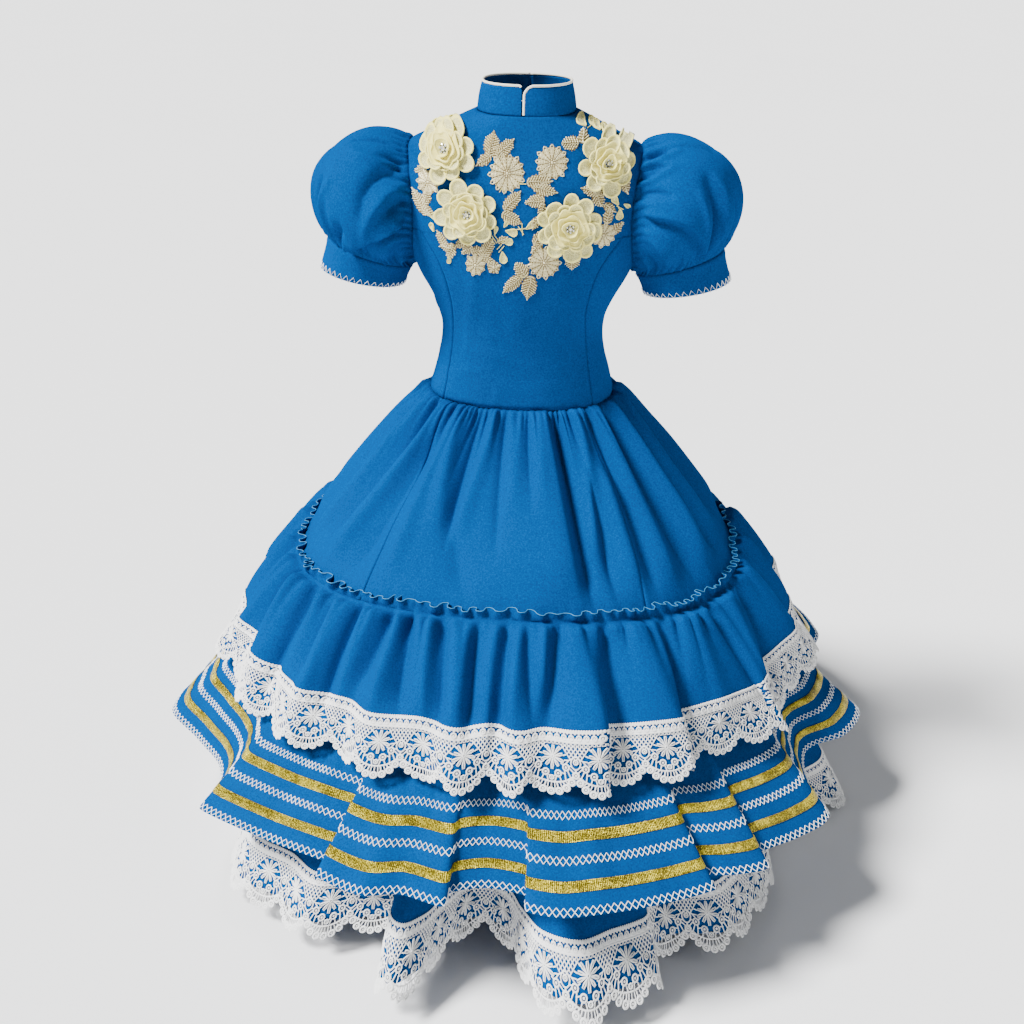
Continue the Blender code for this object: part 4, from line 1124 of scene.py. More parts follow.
# Folds of the second tier below its gathers, in the same form
UPPER_CREASES = (
    (-84, -84, 2.4, 6, -0.1, 0.9, 0), (-77, -77, 2.2, -7, -0.1, 0.9, 0), (-71, -70, 2.6, 6, -0.1, 0.9, 0),
    (-65, -64, 2, -7, -0.1, 0.9, 0), (-58, -57, 3, 7, -0.1, 0.9, 0), (-51.5, -50, 1.9, -9, -0.1, 1.0, 0),
    (-45, -45, 2.4, 5, -0.1, 0.9, 0), (-41.5, -42, 1.6, -6, -0.1, 0.7, 0), (-38, -39, 2.4, 6, -0.1, 0.8, 0.4),
    (-33, -33, 1.6, -9, -0.1, 0.9, 0), (-28.5, -30, 2.2, 6, -0.1, 0.8, 0),
    (-23.5, -29, 1.5, -8, -0.1, 0.6, 0),
    (-20.5, -21, 1.6, 5, -0.1, 0.7, 0), (-18, -16, 1.3, -8, -0.1, 0.7, 0),
    (-13.5, -13, 2.4, 6, -0.1, 0.8, 0.4),
    (-9.9, -9.9, 1.3, -8, -0.1, 0.7, 0), (-6, -6.5, 1.5, 5, -0.1, 0.7, 0),
    (-3.8, -3.8, 1.6, -9, -0.1, 0.8, 0),
    (-0.6, -2.5, 1.5, 5, -0.1, 0.95, 0.3), (1.1, -0.5, 1.2, -7, -0.1, 0.8, 0), (3, 2.6, 1.2, 4, -0.1, 0.7, 0),
    (4.6, 8.5, 1.3, -7, -0.1, 0.6, 0), (7.5, 9, 1.8, 5, -0.1, 0.5, 0), (10.6, 8.8, 1.4, -9, -0.1, 0.7, 0),
    (15, 18, 3.4, 6, -0.1, 0.9, 0.6), (22, 26, 1.9, -9, -0.1, 1.1, 0), (29, 31, 3, 5, -0.1, 0.9, 0.3),
    (35.5, 42, 1.9, -9, -0.1, 1.1, 0), (45, 47, 2.4, 5, -0.1, 0.9, 0), (53.5, 53, 1.9, -8, -0.1, 1.0, 0),
    (62, 60, 3, 6, -0.1, 0.9, 0), (72.5, 68, 2.2, -8, -0.1, 1.0, 0), (80, 79, 3.4, 6, -0.1, 0.9, 0.3),
    (88, 88, 1.8, -7, -0.1, 0.9, 0), (95, 93, 3, 5, -0.1, 0.8, 0), (102, 103, 1.8, -8, -0.1, 0.9, 0),
    (108, 110, 3, 6, -0.1, 0.9, 0.3), (115, 114, 1.6, -7, -0.1, 0.7, 0), (121, 122, 2.4, 5, -0.1, 0.8, 0),
    (128, 128, 1.8, -9, -0.1, 0.9, 0), (135, 137, 3, 6, -0.1, 0.9, 0), (142, 141, 1.6, -7, -0.1, 0.8, 0),
    (149, 148, 2.4, 5, -0.1, 0.8, -0.3), (156, 157, 1.8, -8, -0.1, 0.9, 0), (163, 164, 3, 6, -0.1, 0.9, 0),
    (170, 169, 1.6, -7, -0.1, 0.7, 0), (177, 177, 2.6, 6, -0.1, 0.8, 0.3), (184, 185, 1.8, -9, -0.1, 0.9, 0),
    (192, 193, 3, 6, -0.1, 0.9, 0), (199, 198, 1.6, -7, -0.1, 0.8, 0), (206, 204, 2.6, 5, -0.1, 0.8, 0),
    (213, 213, 1.8, -8, -0.1, 0.9, 0), (220, 223, 3, 6, -0.1, 0.9, -0.3), (228, 228, 1.6, -7, -0.1, 0.7, 0),
    (235, 234, 2.4, 5, -0.1, 0.8, 0), (241, 242, 1.8, -9, -0.1, 0.9, 0), (248, 249, 3, 6, -0.1, 0.9, 0.3),
    (255, 255, 1.6, -7, -0.1, 0.8, 0), (262, 261, 2.6, 6, -0.1, 0.8, 0), (268.5, 269, 1.6, -6, -0.1, 0.7, 0),
)


def make_upper_flounce(cloth, overlock, lace):
    flounce = Flounce(UPPER_FOLDS, STITCH_RING, UPPER_HEM, UPPER_SWELL)
    shares = np.concatenate([np.linspace(0, 0.25, 15)[:-1], np.linspace(0.25, 1, 21)])
    points, angle = flounce.sheet(880, shares)
    reach = run_down(points)
    level = np.broadcast_to(shares[:, COLUMNS], reach.shape)
    way = np.broadcast_to(((angle + 84) / 360) % 1.0, reach.shape)
    relief = gathers(way, reach, 78, 10.5 * MM, 46 * MM, 61.0)
    relief += gathers(way, reach, 170, 3.4 * MM, 14 * MM, 67.0)
    relief += 4.5 * MM * smooth_step(reach, 0, 9 * MM) * (1 - smooth_step(level, 0.1, 0.7))
    relief += long_folds(UPPER_CREASES, np.broadcast_to(angle, reach.shape), level) * (
        1.45 - 0.75 * smooth_step(level, 0.5, 0.95))
    relief += 0.9 * MM * uneven_field(way * 70, level * 4, 71.0, 70) * smooth_step(level, 0.05, 0.4)
    relief *= smooth_step(reach, 0, 6 * MM)
    relief -= 1.6 * MM * np.exp(-(reach / (2.5 * MM)) ** 2)
    pull = relief[int(np.searchsorted(reach[:, 0], 9 * MM))]
    points = emboss(points, relief, True)

    # The frill stands up from the stitch line
    foot = points[0]
    out = outward(foot)
    slope = (FRILL_RING[2] - WAIST) / (FRILL_RING[0] - BODY[0][1] * MM)
    up = unit(UP - 0.62 * out / abs(slope))
    side = np.cross(out, UP)
    rise = np.linspace(1, 0, 8)[:-1, COLUMNS]
    turn = way[0]
    waves = 98
    phase = turn * waves + 0.85 * uneven(turn * waves / 4, 77.0, waves / 4)
    phase += 0.3 * uneven(turn * waves / 2, 78.0, waves / 2)
    size = 0.35 + 0.65 * hashed(np.floor(phase) % waves, 79.0)
    following = 0.35 + 0.65 * hashed((np.floor(phase) + 1) % waves, 79.0)
    size = size + (following - size) * smooth_step(phase - np.floor(phase), 0, 1)
    ripple = np.sin(phase * math.tau)
    curl = np.sin(phase * math.tau * 2)
    tall = FRILL_HEIGHT * (0.98 + 0.14 * uneven(turn * 74, 83.0, 74))
    bend = rise ** 1.2
    frill = (foot + up * (rise * tall)[..., COLUMNS]
             + out * ((bend * (3.8 + 6.0 * size * ripple) - 0.8 * (1 - rise) ** 2) * MM
                      + 0.3 * (pull - pull.mean()) * smooth_step(rise, 0, 0.5))[..., COLUMNS]
             + side * (bend * 1.9 * size * curl * MM)[..., COLUMNS])
    body_rows = int(np.searchsorted(shares, UPPER_CLOTH_TO))
    sheet = np.concatenate([frill, points[:body_rows + 1]])
    piece = weave_sheet("second_tier", sheet, cloth, closed=True)
    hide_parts("flounce_upper")
    thread = tube("frill_overlock", frill[0], 0.55 * MM, overlock, sides=5, closed=True)
    strip = Strip(points, shares)
    make_lace("upper_lace", "lace_upper", flounce, strip, UPPER_LACE_FROM, lace)


def make_under_layer(cloth):
    points = np.array([ring_point(ring, np.linspace(0, 360, 181))
                       for ring in (UNDER_TOP, UNDER_MIDDLE, UNDER_BOTTOM)])
    piece = weave_sheet("under_layer", points, cloth, closed=True)
    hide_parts("skirt_under")


def make_ribboned_flounce(cloth, gold, thread):
    flounce = Flounce(RIBBONED_FOLDS, RIBBONED_TOP, RIBBONED_HEM)
    shares = sorted({*np.linspace(0, 1, 21).round(4), *(edge for band in RIBBON_BANDS for edge in band)})
    points, _ = flounce.sheet(924, shares)
    level = np.broadcast_to(np.array(shares)[:, COLUMNS], points.shape[:2])
    way = np.broadcast_to(np.linspace(0, 1, points.shape[1]), level.shape)
    reach = run_down(points)
    relief = gathers(way, reach, 88, 5.0 * MM, 76 * MM, 91.0)
    relief += 2.3 * MM * uneven_field(way * 96, level * 1.5, 93.0, 96)
    for start, end in RIBBON_BANDS:
        near = np.exp(-((level - (start + end) / 2) / 0.06) ** 2)
        relief += 0.35 * MM * near * uneven_field(way * 420, level * 9, 97.0, 420)
    relief *= smooth_step(level, 0, 0.05)
    points = emboss(points, relief, True)
    piece = weave_sheet("third_tier", points, cloth, closed=True)
    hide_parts("flounce_ribboned")
    strip = Strip(points, shares)
    for name, (start, end) in zip(("upper", "lower"), RIBBON_BANDS):
        rows = [shares.index(start), shares.index(end)]
        band = strip.points[rows[0]:rows[1] + 1] + strip.normals[rows[0]:rows[1] + 1] * 0.7 * MM
        ribbon = weave_sheet(f"lurex_{name}", band, gold, closed=True, wall=RIBBON_WALL)
        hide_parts(f"ribbon_gold_{name}")
    count = round(flounce.length / ZIGZAG_STEP)
    for number, (start, end) in enumerate(ZIGZAG_BANDS, 1):
        row = zigzag_row(f"zigzag_{number}", strip, count, start, end, thread)


def make_lower_flounce(cloth, lace):
    flounce = Flounce(LOWER_FOLDS, LOWER_TOP, LOWER_HEM)
    shares = np.concatenate([np.linspace(0, 0.5, 7)[:-1], np.linspace(0.5, 1, 19)])
    points, _ = flounce.sheet(960, shares)
    level = np.broadcast_to(shares[:, COLUMNS], points.shape[:2])
    way = np.broadcast_to(np.linspace(0, 1, points.shape[1]), level.shape)
    relief = gathers(way, run_down(points), 96, 4.6 * MM, 90 * MM, 101.0)
    relief += 2.2 * MM * uneven_field(way * 90, level * 1.5, 103.0, 90)
    relief *= smooth_step(level, 0, 0.05)
    points = emboss(points, relief, True)
    cut = int(np.searchsorted(shares, LOWER_CLOTH_TO))
    piece = weave_sheet("fourth_tier", points[:cut + 1], cloth, closed=True)
    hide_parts("flounce_lower")
    make_lace("lower_lace", "lace_lower", flounce, Strip(points, shares), LOWER_LACE_FROM, lace)


# Guipure lace, drawn as one repeat in mm

LACE_DEPTH = 69.0
ROSETTE = (25.5, 28.3)
# Rings with a bead inside: x, y, radius, width of cord
LACE_RINGS = (
    (25.5, 64.8, 3.1, 2.5), (33.9, 63.4, 3.1, 2.5), (17.1, 63.4, 3.1, 2.5), (41.3, 58.9, 3.1, 2.5),
    (9.7, 58.9, 3.1, 2.5), (46.7, 52.2, 3.1, 2.5), (4.3, 52.2, 3.1, 2.5), (51.0, 44.8, 3.0, 2.3),
    (40.5, 37.6, 3.3, 1.8), (10.5, 37.6, 3.3, 1.8), (32.2, 45.0, 3.3, 1.8), (18.8, 45.0, 3.3, 1.8),
    (25.5, 50.2, 2.2, 1.6), (51.0, 31.4, 2.3, 1.6),
)
# The cord the scalloped edge hangs from
LACE_ARC = ((1.2, 47.2), (4.2, 47.2), (8.4, 50.3), (13.4, 52.8), (19.4, 54.3), (25.5, 54.8),
            (31.6, 54.3), (37.6, 52.8), (42.6, 50.3), (46.8, 47.2), (49.8, 47.2))
# Cords on the right half of the repeat, with both ends: the left half has the same
LACE_BARS = (
    (25.5, 54.8, 25.5, 61.0, 1.5), (31.0, 54.4, 32.6, 60.0, 1.5), (37.2, 53.0, 39.6, 56.0, 1.5),
    (42.4, 50.6, 44.6, 50.4, 1.5), (28.6, 54.6, 29.6, 62.4, 1.2), (34.4, 53.8, 37.0, 59.8, 1.2),
    (40.0, 51.8, 43.4, 54.8, 1.2), (34.0, 47.8, 36.0, 53.2, 1.3), (30.6, 47.8, 29.0, 54.4, 1.3),
    (42.2, 40.6, 45.6, 47.6, 1.3), (39.0, 40.6, 40.6, 51.4, 1.3), (36.0, 43.6, 40.4, 44.6, 1.2),
    (43.8, 37.6, 48.6, 42.0, 1.3), (44.0, 36.2, 46.4, 35.4, 1.3), (27.4, 49.0, 29.4, 47.2, 1.2),
    (37.6, 35.6, 34.6, 33.6, 1.3), (37.4, 16.4, 33.2, 20.4, 1.3), (41.0, 24.4, 37.0, 26.0, 1.3),
    (43.6, 30.0, 38.4, 30.6, 1.3), (46.2, 28.4, 43.6, 30.0, 1.3), (40.0, 34.2, 43.6, 30.0, 1.3),
)


def lace_motif():
    motif = Motif()
    for k in range(17):
        motif.bead(1.5 + 3 * k, 1.3, 1.65, 1.2)
    for down, width, height in ((2.7, 1.5, 0.8), (9.8, 3.0, 0.5), (12.2, 1.9, 1.0)):
        motif.cord([(LACE_WIDTH * k / 7, down) for k in range(8)], width, height)
    for k in range(6):
        middle = 8.5 * (k + 0.5)
        motif.bead(middle - 4.25, 3.5, 1.2, 0.9)
        motif.bead(middle, 3.7, 1.1, 0.8)
        motif.ring(middle, 8.1, 2.7, 1.9, 1.1, sides=8)
        motif.bead(middle, 8.1, 1.3, 0.9)
    for k in range(11):
        left = LACE_WIDTH / 11 * k
        motif.cord(((left + 0.5, 12.8), (left + 0.9, 15.1), (left + 3.7, 15.1), (left + 4.1, 12.8)), 1.2, 0.7)
    for x, y, radius, width in LACE_RINGS:
        motif.ring(x, y, radius, width, 1.2, sides=9)
        motif.bead(x, y, radius * 0.42, 0.8)
    motif.cord(LACE_ARC, 1.7, 0.9)
    for x, y, to_x, to_y, width in LACE_BARS:
        for flip in (lambda across: across, lambda across: LACE_WIDTH - across):
            motif.cord(((flip(x), y), (flip(to_x), to_y)), width, 0.7)
    x, y = ROSETTE
    motif.ring(x, y, 1.6, 2.2, 1.4, sides=8)
    for k in range(10):
        turn = math.tau * (k + 0.5) / 10
        motif.petal(x, y, turn, 2.4, (13.8, 12.0)[k % 2], 1.5, 1.45, 1.1, steps=6)
    motif.ring(LACE_WIDTH, 32.4, 5.2, 1.5, 0.9, sides=10, tall=1.25)
    motif.cord(((LACE_WIDTH, 38.6), (LACE_WIDTH, 42.0)), 1.8, 0.8)
    for row, count in enumerate((7, 6, 5, 4, 3)):
        down = 15.0 + 3.0 * row
        for k in range(count):
            across = LACE_WIDTH + 4.64 * (k - (count - 1) / 2)
            for aside in (-2.32, 2.32):
                motif.cord(((across + aside, down), (across, down + 3.0)), 1.2, 0.6)
    return motif


def make_lace(name, node, flounce, strip, start, material):
    repeats = round(flounce.length / LACE_REPEAT)
    half = repeats // 2
    for part, first, last in (("front", 0, half), ("back", half, repeats)):
        piece = lace_motif().repeated(f"{name}_{part}", last - first, LACE_WIDTH, material)
        wrap(piece, strip, LACE_WIDTH * repeats, start, 1.0, LACE_DEPTH, 0.75, first / repeats)
        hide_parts(f"{node}_{part}")
        width = (last - first) * 0.051
        width * 0.069 * 0.9


# Flowers, leaves and beads on the chest, in mm across and up from the shoulder line

# Large flowers: name, x, z, reach, petals, turn in degrees, seed
BIG_FLOWERS = (
    ("flower_upper_left", -76.5, -5.0, 31.0, 9, 12, 3.0),
    ("flower_lower_left", -51.5, -63.0, 33.5, 9, 30, 5.0),
    ("flower_upper_right", 84.5, -14.0, 29.5, 8, 5, 7.0),
    ("flower_lower_right", 50.5, -73.0, 34.0, 10, 22, 9.0),
)
# Layers of petals: foot and tip as shares of the reach, width, lift of the foot and of the tip in mm
PETAL_LAYERS = ((0.26, 1.0, 0.30, 0.9, 2.6), (0.20, 0.70, 0.25, 3.0, 5.6))
# Rolled cups: foot and rim as shares of the reach, lift of both in mm, lobes, depth of the waves
ROSE_CUPS = ((0.20, 0.50, 4.4, 7.6, 6, 0.07), (0.16, 0.35, 5.2, 9.4, 5, 0.08),
             (0.10, 0.21, 5.8, 10.4, 3, 0.10))
# Beaded flowers: x, z, reach, petals, turn
SMALL_FLOWERS = (
    (-13.4, -22.2, 19.0, 14, 5), (30.8, -11.3, 17.0, 13, 10), (26.5, -108.0, 17.5, 13, 0),
    (-44.0, -113.5, 11.5, 9, 15), (-25.0, -114.5, 7.5, 5, 18), (-95.0, -36.0, 13.0, 10, 0),
)
# A seventh one lies half under the last large flower
HALF_HIDDEN_FLOWER = (85.0, -81.0, 13.0, 10, 8)
# Leaves: x, z, length, width, way the tip points in degrees
SPRAY_LEAVES = (
    (-30.0, 5.0, 24, 15, 80), (-16.0, 1.5, 24, 13, 45), (-38.0, -11.5, 18, 10, 215),
    (19.5, -29.0, 26, 13, 4), (25.5, -36.5, 25, 12, -12), (15.0, -47.5, 20, 13, 190),
    (22.5, -56.5, 15, 8, 262), (-7.0, -47.5, 25, 13, 50), (-7.0, -65.0, 23, 12, -25),
    (-104.5, -56.0, 30, 13, 125), (-104.5, -25.5, 12, 8, 200), (-80.5, -90.0, 19, 9, 120),
    (-70.5, -103.0, 20, 10, 255), (-65.0, -30.5, 15, 10, 100), (-53.0, -98.5, 14, 10, 220),
    (-32.0, -95.5, 24, 13, 60), (3.0, -115.5, 18, 14, 130), (-6.0, -131.5, 27, 12, 225),
    (11.5, -134.5, 26, 15, 262), (55.0, -107.0, 17, 15, 265), (20.5, -82.0, 18, 10, 60),
    (47.5, 6.5, 17, 13, 178), (60.0, 12.5, 13, 10, 95), (69.5, -37.0, 20, 10, 165),
    (78.5, -46.0, 16, 12, 300), (89.0, -62.0, 16, 10, 85), (98.5, -75.0, 16, 10, 40),
    (103.0, 3.0, 14, 9, 60), (104.5, -34.5, 18, 10, 290), (-16.0, -86.0, 12, 7, 30),
    (-96.0, -49.5, 17, 10, 75), (-76.0, -98.0, 14, 8, 185), (-60.5, -93.5, 14, 9, 215),
    (-41.5, -98.5, 15, 10, 20), (-31.5, -106.5, 13, 9, 320), (16.5, -69.0, 14, 9, 245),
    (18.0, -93.0, 15, 9, 225), (81.0, -38.5, 15, 10, 205), (90.5, -55.0, 15, 9, 325),
    (-23.5, -5.5, 16, 10, 115), (24.0, -20.5, 13, 8, 200), (-94.0, -64.5, 16, 9, 320),
)
# Corded loops: x, z of the foot, way it points, length, width
LOOPS = (
    (7.0, -74.5, 35, 12, 7.5), (-13.5, -77.0, -12, 12, 9), (-17.0, -87.5, -4, 11, 8),
    (-16.5, -98.0, 280, 12, 9), (-93.5, -68.0, 0, 9, 8.5), (-71.5, -107.0, 262, 8, 4.5),
    (62.0, 20.0, 140, 12, 7), (70.5, 18.5, 128, 9, 5), (76.5, 15.5, 138, 10, 5),
    (84.5, 11.5, 130, 10, 5.5), (92.0, 7.0, 120, 8, 5), (100.5, -56.0, 268, 11, 8),
    (98.5, -52.0, 128, 10, 7), (104.0, -52.0, 330, 7, 4), (-15.0, -73.5, 60, 7, 4),
    (-24.5, -81.0, 75, 8, 4), (-88.5, -84.0, 112, 9, 5), (99.0, -22.0, 330, 9, 6),
)
# Thin cords: x, z of both ends
STEMS = (
    (-4.0, -75.5, 7.5, -74.0), (-1.0, -72.0, 5.0, -80.0), (3.0, -70.0, 4.0, -81.0),
    (-30.0, -83.5, -24.0, -91.0), (-27.5, -82.5, -22.0, -90.0), (-25.0, -81.5, -19.5, -88.0),
    (-14.5, -92.0, -20.0, -99.0), (-17.0, -90.5, -22.0, -96.0), (-1.0, -31.5, 6.0, -31.5),
    (-15.0, -39.0, -18.5, -36.5), (-18.5, -36.5, -20.5, -40.0), (63.0, 18.0, 70.5, 21.0),
    (70.5, 21.0, 84.0, 12.0), (84.0, 12.0, 98.0, 4.0), (96.5, -53.0, 103.5, -57.0),
    (95.5, -49.0, 100.5, -58.0), (6.0, -124.0, 1.5, -121.0), (8.5, -121.0, 6.0, -124.0),
)


class Chest:
    """The outer face of the finished bodice, seen from the front."""

    def __init__(self, panels):
        work = bmesh.new()
        for panel in panels:
            work.from_mesh(panel.data)
        self.tree = BVHTree.FromBMesh(work)
        work.free()

    def depth(self, x, z):
        share = np.minimum(np.abs(x) / table_value(BODY, z, 1), 0.999) ** (1 / SQUARENESS)
        return -table_value(BODY, z, 2) * np.sqrt(1 - share * share) ** SQUARENESS

    def lay(self, piece, lift):
        """Moves a flat piece, drawn in mm across and up, on to the chest."""
        mesh = piece.data
        flat = np.empty(len(mesh.vertices) * 3)
        mesh.vertices.foreach_get("co", flat)
        x, z, out = (flat.reshape(-1, 3) * MM).T
        step = 2 * MM
        slope = (self.depth(x + step, z) - self.depth(x - step, z)) / (2 * step)
        rise = (self.depth(x, z + step) - self.depth(x, z - step)) / (2 * step)
        normals = unit(stack(slope, -1.0, rise))
        deep = self.depth(x, z)
        for k in range(len(x)):
            hit = self.tree.ray_cast(Vector((x[k], -0.2, z[k])), Vector((0, 1, 0)), 0.25)[0]
            deep[k] = hit.y if hit is not None else deep[k]
        laid = stack(x, deep, z) + normals * (out + lift * MM)[:, COLUMNS]
        mesh.vertices.foreach_set("co", laid.ravel())
        mesh.update()


def spoon(steps, start, length, half):
    """Outline of a rounded petal along x, from its narrow foot."""
    outline = []
    for k in range(steps):
        turn = math.tau * k / steps
        along = 0.5 - 0.5 * math.cos(turn)
        wide = math.sin(turn)
        outline.append((start + (length - start) * along,
                        half * wide * (0.5 + 0.62 * along - 0.12 * along ** 4)))
    return outline


def add_petal(work, centre, turn, start, length, half, base, tip, cup, steps=18):
    """One corded petal with a hollow face. base and tip are its lifts in mm."""
    rings = ((1.0, -0.1), (0.99, 0.75), (0.93, 1.05), (0.86, 0.72), (0.82, 0.12), (0.45, 0.0))
    outline = spoon(steps, start, length, half)
    middle = ((start + length) / 2 + 0.08 * (length - start), 0.0)
    before = set(work.verts)
    bmesh.ops.create_grid(work, x_segments=steps, y_segments=len(rings) - 1, size=1.0)
    fresh = [vertex for vertex in work.verts if vertex not in before]
    inner = []
    for vertex in fresh:
        i = round((vertex.co.x + 1) / 2 * steps)
        j = round((vertex.co.y + 1) / 2 * (len(rings) - 1))
        scale, raised = rings[j]
        x = middle[0] + (outline[i % steps][0] - middle[0]) * scale
        y = outline[i % steps][1] * scale
        share = max(0.0, (x - start) / (length - start))
        lift = base + (tip - base) * share ** 1.5 + cup * (y / half) ** 2 + raised
        vertex.co = Vector((centre[0] + x * math.cos(turn) - y * math.sin(turn),
                            centre[1] + x * math.sin(turn) + y * math.cos(turn), lift))
        if j == len(rings) - 1:
            inner.append(vertex)
    for face in {face for vertex in fresh for face in vertex.link_faces}:
        face.material_index = 0
    bmesh.ops.remove_doubles(work, verts=fresh, dist=0.001)
    inner = [vertex for vertex in inner if vertex.is_valid]
    edges = {edge for vertex in inner for edge in vertex.link_edges
             if edge.other_vert(vertex) in inner and edge.is_boundary}
    fill = bmesh.ops.holes_fill(work, edges=list(edges), sides=0)["faces"]
    hollow = {face for vertex in inner for face in vertex.link_faces} | set(fill)
    for face in hollow:
        face.material_index = 1


def add_rose_cup(work, centre, foot, rim, low, high, lobes, turn, wave, steps=40):
    """One wavy cup of the rolled centre, with a corded rim."""
    rows = ((0.0, 0.0, 0.0), (0.45, 0.25, 0.0), (0.8, 0.68, 0.0), (0.97, 0.93, 0.0),
            (1.0, 1.02, 0.55), (1.045, 1.04, 0.75), (1.085, 0.98, 0.5), (1.07, 0.88, 0.0))
    before = set(work.verts)
    bmesh.ops.create_grid(work, x_segments=steps, y_segments=len(rows) - 1, size=1.0)
    fresh = [vertex for vertex in work.verts if vertex not in before]
    for vertex in fresh:
        angle = math.tau * round((vertex.co.x + 1) / 2 * steps) / steps
        out, up, raised = rows[round((vertex.co.y + 1) / 2 * (len(rows) - 1))]
        ripple = math.sin(angle * lobes + turn) + 0.4 * math.sin(angle * (lobes + 2) + turn * 2)
        radius = foot + (rim * (1 + wave * ripple * out) - foot) * out
        lift = low + (high - low) * up + raised + 0.8 * out * math.cos(angle * lobes + turn * 1.7)
        vertex.co = Vector((centre[0] + radius * math.cos(angle), centre[1] + radius * math.sin(angle),
                            lift))
    bmesh.ops.remove_doubles(work, verts=fresh, dist=0.001)


def add_stone(work, x, y, radius, lift, turn=0.0):
    """A faceted stone, table up."""
    for depth, low, high in ((radius * 0.55, 1.0, 0.55), (radius * 0.3, 0.9, 1.0)):
        cut = bmesh.ops.create_cone(work, cap_ends=True, segments=8, radius1=radius * low,
                                    radius2=radius * high, depth=depth)["verts"]
        centre = Vector((x, y, lift + (depth / 2 if low == 1.0 else -depth / 2)))
        bmesh.ops.rotate(work, verts=cut, matrix=Matrix.Rotation(turn, 3, "Z"))
        bmesh.ops.translate(work, verts=cut, vec=centre)


def finish_trim(name, work, chest, lift, *materials, smooth=True):
    mesh = bpy.data.meshes.new(name)
    work.to_mesh(mesh)
    work.free()
    piece = link(name, mesh, materials[0])
    for material in materials[1:]:
        mesh.materials.append(material)
    if not smooth:
        mesh.shade_flat()
    chest.lay(piece, lift)
    return piece


def make_big_flowers(chest, cream, net, glass):
    for name, x, z, reach, petals, turn, seed in BIG_FLOWERS:
        work = bmesh.new()
        stones = bmesh.new()
        for layer, (foot, size, wide, base, tip) in enumerate(PETAL_LAYERS):
            for k in range(petals):
                chance = hashed(k + 1, seed + layer * 0.3)
                swing = hashed(k + 1, seed + 11 + layer * 0.3)
                way = math.radians(turn + (k + layer * 0.5 + 0.34 * (swing - 0.5)) * 360 / petals)
                length = reach * size * (0.88 + 0.2 * chance)
                add_petal(work, (x, z), way, reach * foot, length, reach * wide * (0.85 + 0.3 * swing),
                          base + 0.9 * (k % 2), tip + 2.4 * chance + 1.4 * (k % 2), 1.2 + 1.6 * swing)
        for foot, rim, low, high, lobes, wave in ROSE_CUPS:
            add_rose_cup(work, (x, z), reach * foot, reach * rim, low, high, lobes, seed + lobes, wave)
        petals_piece = finish_trim(name + "_petals", work, chest, 0.0, cream, net)
        add_wall(petals_piece, PETAL_WALL)
        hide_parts(name)
        add_stone(stones, x, z, 2.1, 8.4, seed)
        for k in range(6):
            way = math.tau * k / 6 + seed
            add_stone(stones, x + 3.4 * math.cos(way), z + 3.4 * math.sin(way), 1.25, 7.6, k + seed)
        finish_trim(name + "_stones", stones, chest, 0.0, glass, smooth=False)


def add_beaded_flower(motif, x, z, reach, petals, turn):
    for k in range(petals):
        way = math.radians(turn) + math.tau * k / petals
        size = reach * (0.9 + 0.14 * hashed(k + 1, x))
        tip = size * 0.80
        half = min(size * 0.78 * math.pi / petals, size * 0.24)
        motif.petal(x, z, way, size * 0.22, size, half * 0.68, max(0.8, half * 0.38), 1.2, steps=9)
        for share in (0.42, 0.58, 0.74):
            motif.bead(x + size * share * math.cos(way), z + size * share * math.sin(way),
                       max(0.75, half * 0.42 * (0.7 + share * 0.5)), 1.7, stretch=1.5, turn=way)
        edge = way + math.pi / petals
        for share in (0.5, 0.7, 0.86):
            motif.bead(x + tip * share * 1.15 * math.cos(edge),
                       z + tip * share * 1.15 * math.sin(edge), 0.6, 1.2)
    motif.bead(x, z, 1.7, 3.0, sides=8)
    for k in range(7):
        way = math.tau * k / 7
        motif.bead(x + 2.7 * math.cos(way), z + 2.7 * math.sin(way), 1.0, 2.3)


def add_leaf(motif, x, z, length, width, turn):
    """A domed leaf with a toothed edge, a corded rib and slanted rows of beads."""
    way = math.radians(turn)
    cos, sin = math.cos(way), math.sin(way)

    def at(along, aside):
        return x + along * cos - aside * sin, z + along * sin + aside * cos

    teeth = 7
    outline = []
    for side in (1, -1):
        run = range(teeth * 2 + 1) if side == 1 else range(teeth * 2, -1, -1)
        for k in run:
            share = k / (teeth * 2)
            wide = math.sin(math.pi * (0.06 + 0.94 * share) ** 0.78) * width / 2
            outline.append((length * (share - 0.5), side * (wide * (1.12 if k % 2 else 0.86) + 0.25)))
    motif.dome([at(*point) for point in outline], at(0, 0), 0.6, ground=1)
    motif.cord([at(length * (k / 5 - 0.5), 0.6 * math.sin(k * 1.3)) for k in range(6)], 1.0, 1.7)
    rows = max(5, round(length / 2.5))
    for k in range(rows):
        share = (k + 0.5) / rows
        wide = math.sin(math.pi * (0.06 + 0.94 * share) ** 0.78) * width / 2
        for side in (1, -1):
            for n in range(max(1, round(wide / 1.9))):
                aside = (n + 0.75) * 1.75
                if aside > wide + 0.4:
                    continue
                along = length * (share - 0.5) + aside * 0.55 - 1.0
                motif.bead(*at(along, side * aside), 0.74, 2.0, stretch=1.6, turn=way + side * 0.9)


